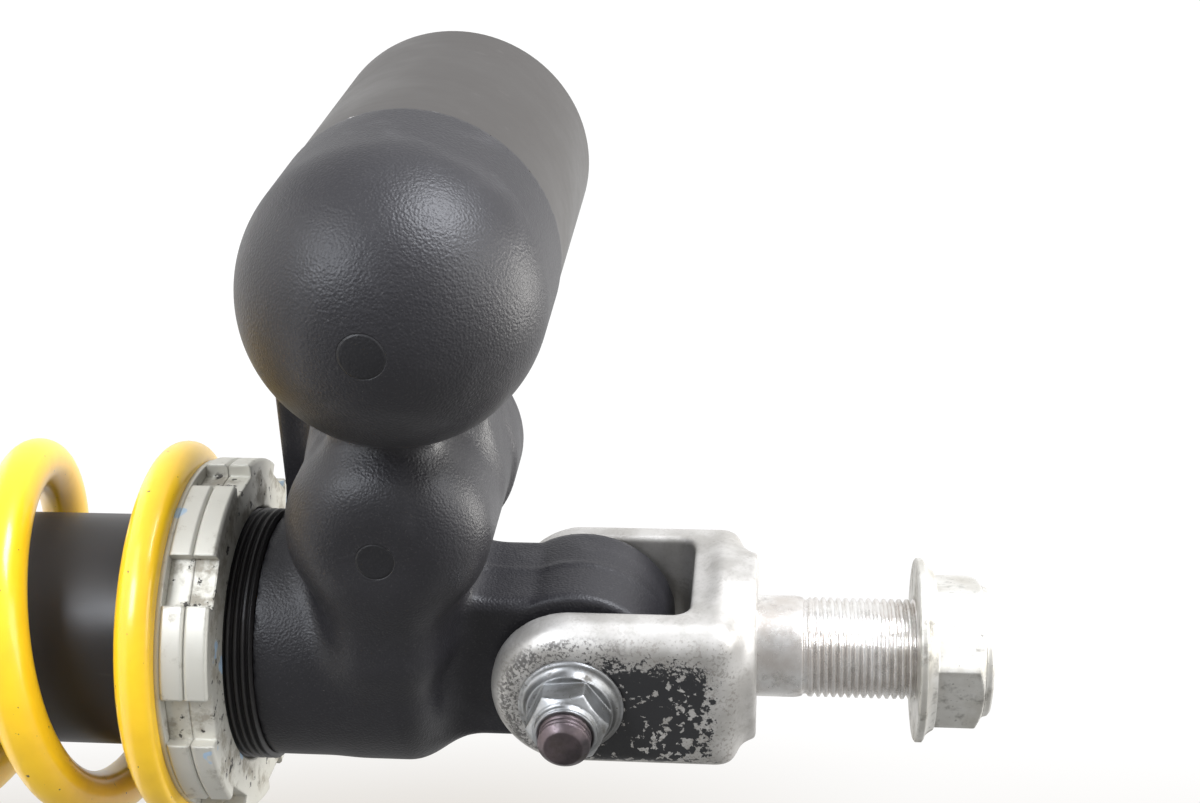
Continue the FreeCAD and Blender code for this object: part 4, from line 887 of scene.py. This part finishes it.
def flaked_bracket():
    """Bare casting with a painted field on its outer faces. The field's flakes fall out more and more towards
    the shoulder and the ear's lower side, and round the eye's rim the paint is rubbed to a sandy speckle."""
    material, graph = finish_called("flaked_bracket")
    where = coordinates(graph)
    x, y, z = (part_of(graph, where, axis) for axis in range(3))
    outer = threshold(graph, sum_of(graph, y, 0.0, "ABSOLUTE"), 0.0200, 0.0215)
    blotch = noise(graph, where, 560, 4.0, 0.60, 0.3)
    speck = noise(graph, where, 1500, 3.0, 0.6)
    drift = noise(graph, where, 190, 3.0, 0.5)
    wander = times(graph, sum_of(graph, sum_of(graph, blotch, times(graph, speck, 0.7)), -0.85), 0.014)
    edge_x = threshold(graph, sum_of(graph, x, wander), -0.0105, -0.0085)
    left = threshold(graph, sum_of(graph, z, wander), -0.0345, -0.0315)
    right = threshold(graph, sum_of(graph, z, wander), -0.0082, -0.0096)
    field = times(graph, times(graph, outer, edge_x), times(graph, left, right))
    lower_edge = threshold(graph, x, 0.004, 0.0135, 0.0, 0.075)
    worse = sum_of(graph, threshold(graph, z, -0.027, -0.010, 0.0, 0.085), lower_edge)
    lost = sum_of(graph, sum_of(graph, blotch, times(graph, drift, 0.25)), worse)
    kept = sum_of(graph, 1.0, threshold(graph, lost, 0.765, 0.785), "SUBTRACT")
    paint = times(graph, field, kept)
    from_eye = sum_of(graph, z, -PIVOT_Z * MM)
    reach = sum_of(graph, times(graph, x, x), times(graph, from_eye, from_eye))
    reach = sum_of(graph, reach, 0.5, "POWER")
    rubbed = times(graph, outer, threshold(graph, z, -0.0200, -0.0330))
    speckle = sum_of(graph, speck, times(graph, drift, 0.55))
    speckle = sum_of(graph, speckle, threshold(graph, reach, 0.0095, 0.0165, 0.0, 0.13))
    rim = times(graph, rubbed, threshold(graph, speckle, 0.74, 0.92))
    sand = times(graph, threshold(graph, sum_of(graph, speck, times(graph, drift, 0.3)), 0.66, 0.78), 0.55)
    sand = times(graph, sand, threshold(graph, sum_of(graph, drift, outer), 0.50, 0.90, 0.25, 1.0))
    cloud = threshold(graph, noise(graph, where, 120, 4.0), 0.35, 0.65)
    bare = mixed(graph, cloud, (0.39, 0.375, 0.350), (0.53, 0.515, 0.490))
    colour = mixed(graph, sand, bare, (0.22, 0.20, 0.175))
    colour = mixed(graph, times(graph, rim, 0.80), colour, (0.055, 0.052, 0.050))
    colour = mixed(graph, paint, colour, (0.016, 0.016, 0.017))
    covered = sum_of(graph, paint, times(graph, rim, 0.6), "MAXIMUM")
    metal = sum_of(graph, 0.62, times(graph, covered, 0.62), "SUBTRACT")
    rough = sum_of(graph, blended(graph, paint, 0.42, 0.46), times(graph, sand, 0.2))
    height = sum_of(graph, times(graph, speck, 0.7), times(graph, paint, 1.2))
    surface(graph, colour, rough, relief(graph, height, 0.35, 0.00012, 0.0009), Metallic=metal)
    return material


# %% Castellated rings with grime in their gaps


def grimy_ring():
    """Turned aluminium rings: grime low on the rim's gaps and the joint between the rings, and blue marks."""
    material, graph = finish_called("grimy_ring")
    where = coordinates(graph)
    in_gap = threshold(graph, reach_of(graph, where, (1.0, 1.0, 0.0)), 0.0345, 0.0330)
    cloud = noise(graph, where, 190, 5.0, 0.65)
    dirt = threshold(graph, sum_of(graph, cloud, times(graph, in_gap, 0.10)), 0.55, 0.74)
    dark = threshold(graph, noise(graph, where, 420, 4.0, 0.6), 0.60, 0.66)
    blue = threshold(graph, noise(graph, where, 85, 3.0, 0.5), 0.665, 0.68)
    bare = mixed(graph, noise(graph, where, 60, 3.0), (0.50, 0.49, 0.43), (0.68, 0.665, 0.61))
    colour = mixed(graph, times(graph, dirt, 0.65), bare, (0.23, 0.20, 0.15))
    colour = mixed(graph, times(graph, dark, in_gap), colour, (0.05, 0.045, 0.04))
    colour = mixed(graph, times(graph, blue, 0.7), colour, (0.25, 0.42, 0.62))
    metal = sum_of(graph, 0.5, times(graph, blue, 0.4), "SUBTRACT")
    rough = sum_of(graph, 0.46, times(graph, dirt, 0.2))
    rings = node(graph, "ShaderNodeMapping", {"Vector": where, "Scale": (0.03, 0.03, 1.0)})
    height = sum_of(graph, noise(graph, where, 1600, 3.0), noise(graph, rings, 2200, 2.0))
    surface(graph, colour, rough, relief(graph, height, 0.15, 0.00006, 0.0007), Metallic=metal)
    return material


# %% Rubber, plastic and foam


def soft_part(name, dark, light, rough, scale, depth, bumps):
    """Rubber, moulded plastic or foam: a fine skin of pores, a cloudy colour and some dust."""
    material, graph = finish_called(name)
    where = coordinates(graph)
    pores = noise(graph, where, scale, 3.0, 0.6)
    cloud = noise(graph, where, 70, 3.0)
    dust = times(graph, threshold(graph, noise(graph, where, 1900, 2.0), 0.6, 0.75), 0.25)
    colour = mixed(graph, cloud, dark, light)
    colour = mixed(graph, dust, colour, tuple(min(1.0, c * 1.6 + 0.04) for c in light))
    roughness = sum_of(graph, times(graph, pores, 0.15), rough - 0.07)
    surface(graph, colour, roughness, relief(graph, pores, bumps, depth, 0.0003))
    return material


# %% Make the finishes

FINISHES = {
    "black_casting": crackle_coat(),
    "reservoir_coat": smooth_black(
        "matte_reservoir", (0.024, 0.0215, 0.0195), (0.038, 0.034, 0.031), 0.34, 0.10
    ),
    "black_tube": smooth_black("satin_black", (0.014, 0.013, 0.014), (0.026, 0.024, 0.023), 0.38, 0.08),
    "yellow_spring": glossy_spring(),
    "bare_casting": flaked_bracket(),
}
# Each metal has its bright and dull colour, roughness, grime, turning marks and how metallic it is.
METALS = {
    "zinc_steel": ("zinc_plate", (0.66, 0.65, 0.615), (0.48, 0.46, 0.41), 0.38, 0.60, 0.3, 0.70),
    "plain_steel": ("turned_steel", (0.56, 0.55, 0.54), (0.38, 0.37, 0.36), 0.30, 0.30, 1.0, 1.0),
    "ring_metal": ("turned_aluminium", (0.52, 0.51, 0.49), (0.37, 0.36, 0.34), 0.38, 0.35, 1.0, 1.0),
    "chrome_rod": ("hard_chrome", (0.80, 0.80, 0.81), (0.70, 0.70, 0.71), 0.12, 0.05, 0.4, 1.0),
    "sintered_iron": ("sintered_iron", (0.30, 0.29, 0.28), (0.18, 0.17, 0.16), 0.55, 0.3, 0.0, 1.0),
    "valve_brass": ("worn_brass", (0.83, 0.64, 0.32), (0.60, 0.44, 0.20), 0.32, 0.35, 0.4, 1.0),
}
# Each soft part has its dark and light colour, roughness, scale and depth of pores, and strength of bumps.
SOFT_PARTS = {
    "seal_rubber": ((0.018, 0.018, 0.018), (0.032, 0.031, 0.030), 0.62, 1500, 0.00008, 0.3),
    "bush_plastic": ((0.20, 0.17, 0.13), (0.30, 0.26, 0.20), 0.50, 1200, 0.00004, 0.15),
    "bump_foam": ((0.62, 0.48, 0.20), (0.74, 0.60, 0.30), 0.75, 1100, 0.00025, 0.5),
    "cup_plastic": ((0.025, 0.025, 0.026), (0.040, 0.040, 0.041), 0.48, 1700, 0.00005, 0.2),
}
FINISHES.update({slot: worn_metal(*looks) for slot, looks in METALS.items()})
FINISHES.update({slot: soft_part(slot, *looks) for slot, looks in SOFT_PARTS.items()})
ring_finish = grimy_ring()
bolt_finish = worn_metal("oiled_bolt", (0.150, 0.120, 0.128), (0.055, 0.048, 0.050), 0.36, 0.6, 0.4, 0.9)
nut_finish = worn_metal("grimy_zinc", (0.40, 0.41, 0.42), (0.17, 0.17, 0.165), 0.32, 0.80, 0.3, 0.9)
stud_finish = worn_metal("polished_stud", (0.84, 0.83, 0.81), (0.66, 0.62, 0.58), 0.20, 0.30, 0.5, 0.85)
print(len(FINISHES) + 4, "finishes")

# %% Give every part its finish
slot_of = {part["node"]: part["material_slot"] for part in frame["record"]["subparts"]}
for name, part in frame["nodes"].items():
    part.data.materials.clear()
    part.data.materials.append(FINISHES[slot_of[name]])
for name in ("preload_adjuster_ring", "preload_lock_ring", "spring_upper_seat"):
    frame["nodes"][name].data.materials[0] = ring_finish
made_here = {
    cast_head: FINISHES["black_casting"], cast_bracket: FINISHES["bare_casting"], stud: stud_finish,
    spring_low: FINISHES["yellow_spring"], spring_high: FINISHES["yellow_spring"],
    stud_nut: FINISHES["zinc_steel"], pivot_nut: nut_finish, pivot_bolt: bolt_finish,
}
for piece, finish in made_here.items():
    piece.data.materials.append(finish)
print("finishes on", len(slot_of), "parts and", len(made_here), "pieces")

# %% [markdown]
# ## Stage, light and camera
#
# The part stands on a small pale disc in a bright white room. One large soft window shines from the
# reservoir's side and lays the long sheen on the dome, and two weaker panels open up the shadows. The
# camera looks at the bracket and the reservoir from below the stud's side, rolled by a quarter turn.

# %% A pale floor

FLOOR_RADIUS, FLOOR_RINGS, FLOOR_COLUMNS, FLOOR_GAP = 330.0, 12, 96, 0.2


def floor_disc():
    """A flat disc as rings of growing radius about the middle, level with the fork's foot."""
    radius = np.linspace(1.0, FLOOR_RADIUS, FLOOR_RINGS)[:, None]
    points = turned_points(radius, full_circle(FLOOR_COLUMNS), cad_box[0].z / MM - FLOOR_GAP)
    middle = list(range(FLOOR_COLUMNS))[::-1]
    return points, grid_faces(FLOOR_RINGS, FLOOR_COLUMNS) + [middle]


floor_points, floor_faces = floor_disc()
floor = add_piece("pale_floor", floor_points, floor_faces, None)
floor_finish, graph = finish_called("pale_floor_finish")
paper = noise(graph, coordinates(graph), 300, 3.0)
paper_colour = mixed(graph, paper, (0.80, 0.79, 0.77), (0.84, 0.83, 0.81))
surface(graph, paper_colour, 0.7, relief(graph, paper, 0.05, 0.0002))
floor.data.materials.append(floor_finish)

# %% Soft lights and a white room

RIGHT = np.array((0.0296, 0.0929, 0.9952))
UP = np.array((-0.8969, 0.4420, -0.0146))
BACK = np.array((-0.4412, -0.8922, 0.0964))
AIM = np.array((-0.03, 0.0, -0.06))

# Each panel has how far right, up and back its direction leans, its distance, size, watts and tint.
PANELS = {
    "window": ((0.45, 0.78, 0.42), 0.75, 0.36, 9.0, (0.90, 0.93, 1.0)),
    "left_panel": ((-0.8, 0.5, 0.6), 0.9, 0.6, 3.5, (1, 1, 1)),
    "right_panel": ((0.9, 0.25, 0.35), 0.9, 0.6, 4.0, (1, 1, 1)),
    "side_strip": ((1.0, 0.12, -0.30), 0.8, 0.35, 5.0, (1.0, 0.98, 0.94)),
    "second_window": ((-0.55, 0.35, 0.75), 0.85, 0.30, 4.0, (0.86, 0.91, 1.0)),
}


def in_view(right, up, back):
    """A direction from how far it leans to the view's right, up and back."""
    return right * RIGHT + up * UP + back * BACK


def soft_panel(name, lean, distance, size, watts, tint):
    """An area light in a direction from the part, turned to face it."""
    light = bpy.data.lights.new(name, "AREA")
    light.shape, light.size, light.energy, light.color = "SQUARE", size, watts, tint
    lamp = bpy.data.objects.new(name, light)
    bpy.context.scene.collection.objects.link(lamp)
    toward = in_view(*lean)
    toward /= np.linalg.norm(toward)
    lamp.location = mathutils.Vector(AIM + toward * distance)
    lamp.rotation_mode = "QUATERNION"
    lamp.rotation_quaternion = mathutils.Vector(toward).to_track_quat("Z", "Y")


for name, looks in PANELS.items():
    soft_panel(name, *looks)

# %% A white room that is dimmer where it isn't looked at, with a painted shadow low in the view

DIM, BRIGHT, SEEN = 0.38, 1.00, 1.05
world = bpy.data.worlds.new("white_room")
world.use_nodes = True
bpy.context.scene.world = world
room = world.node_tree
way = node(room, "ShaderNodeTexCoord", output="Generated")
bright_side = in_view(0.55, 0.70, -0.45)
bright_side /= np.linalg.norm(bright_side)
dimmer = threshold(room, agreement(room, way, tuple(bright_side)), -0.7, 0.75, DIM, BRIGHT)
seen = node(room, "ShaderNodeLightPath", output="Is Camera Ray")
low = agreement(room, way, tuple(-UP))
beside = agreement(room, way, tuple(RIGHT))
ahead = agreement(room, way, tuple(-BACK))
# Painted shadow: low in the view and towards its left, just ahead of the camera, the backdrop is tinted beige
# as if the part cast a soft shadow on it.
painted_backdrop_shadow = times(room, threshold(room, low, 0.150, 0.235), threshold(room, beside, 0.20, -0.10, 0.35, 1.0))
painted_backdrop_shadow = times(room, painted_backdrop_shadow, threshold(room, ahead, 0.80, 0.92))
background = room.nodes["Background"]
room.links.new(mixed(room, painted_backdrop_shadow, (1.0, 1.0, 1.0), (0.74, 0.71, 0.67)), background.inputs["Color"])
room.links.new(blended(room, seen, dimmer, SEEN), background.inputs["Strength"])
bpy.context.scene.view_settings.view_transform = "Standard"

# %% Camera
SENSOR, LENS = 36.0, 54.34
CAMERA_AT = (-0.20554, -0.30621, 0.00326)
camera_data = bpy.data.cameras.new("camera")
camera_data.sensor_width, camera_data.sensor_fit, camera_data.lens = SENSOR, "HORIZONTAL", LENS
camera_data.clip_start = 0.01
camera = bpy.data.objects.new("camera", camera_data)
bpy.context.scene.collection.objects.link(camera)
turn_matrix = mathutils.Matrix(np.stack([RIGHT, UP, BACK], -1).tolist()).to_quaternion()
camera.rotation_mode = "QUATERNION"
camera.rotation_quaternion = turn_matrix
camera.location = CAMERA_AT
bpy.context.scene.camera = camera
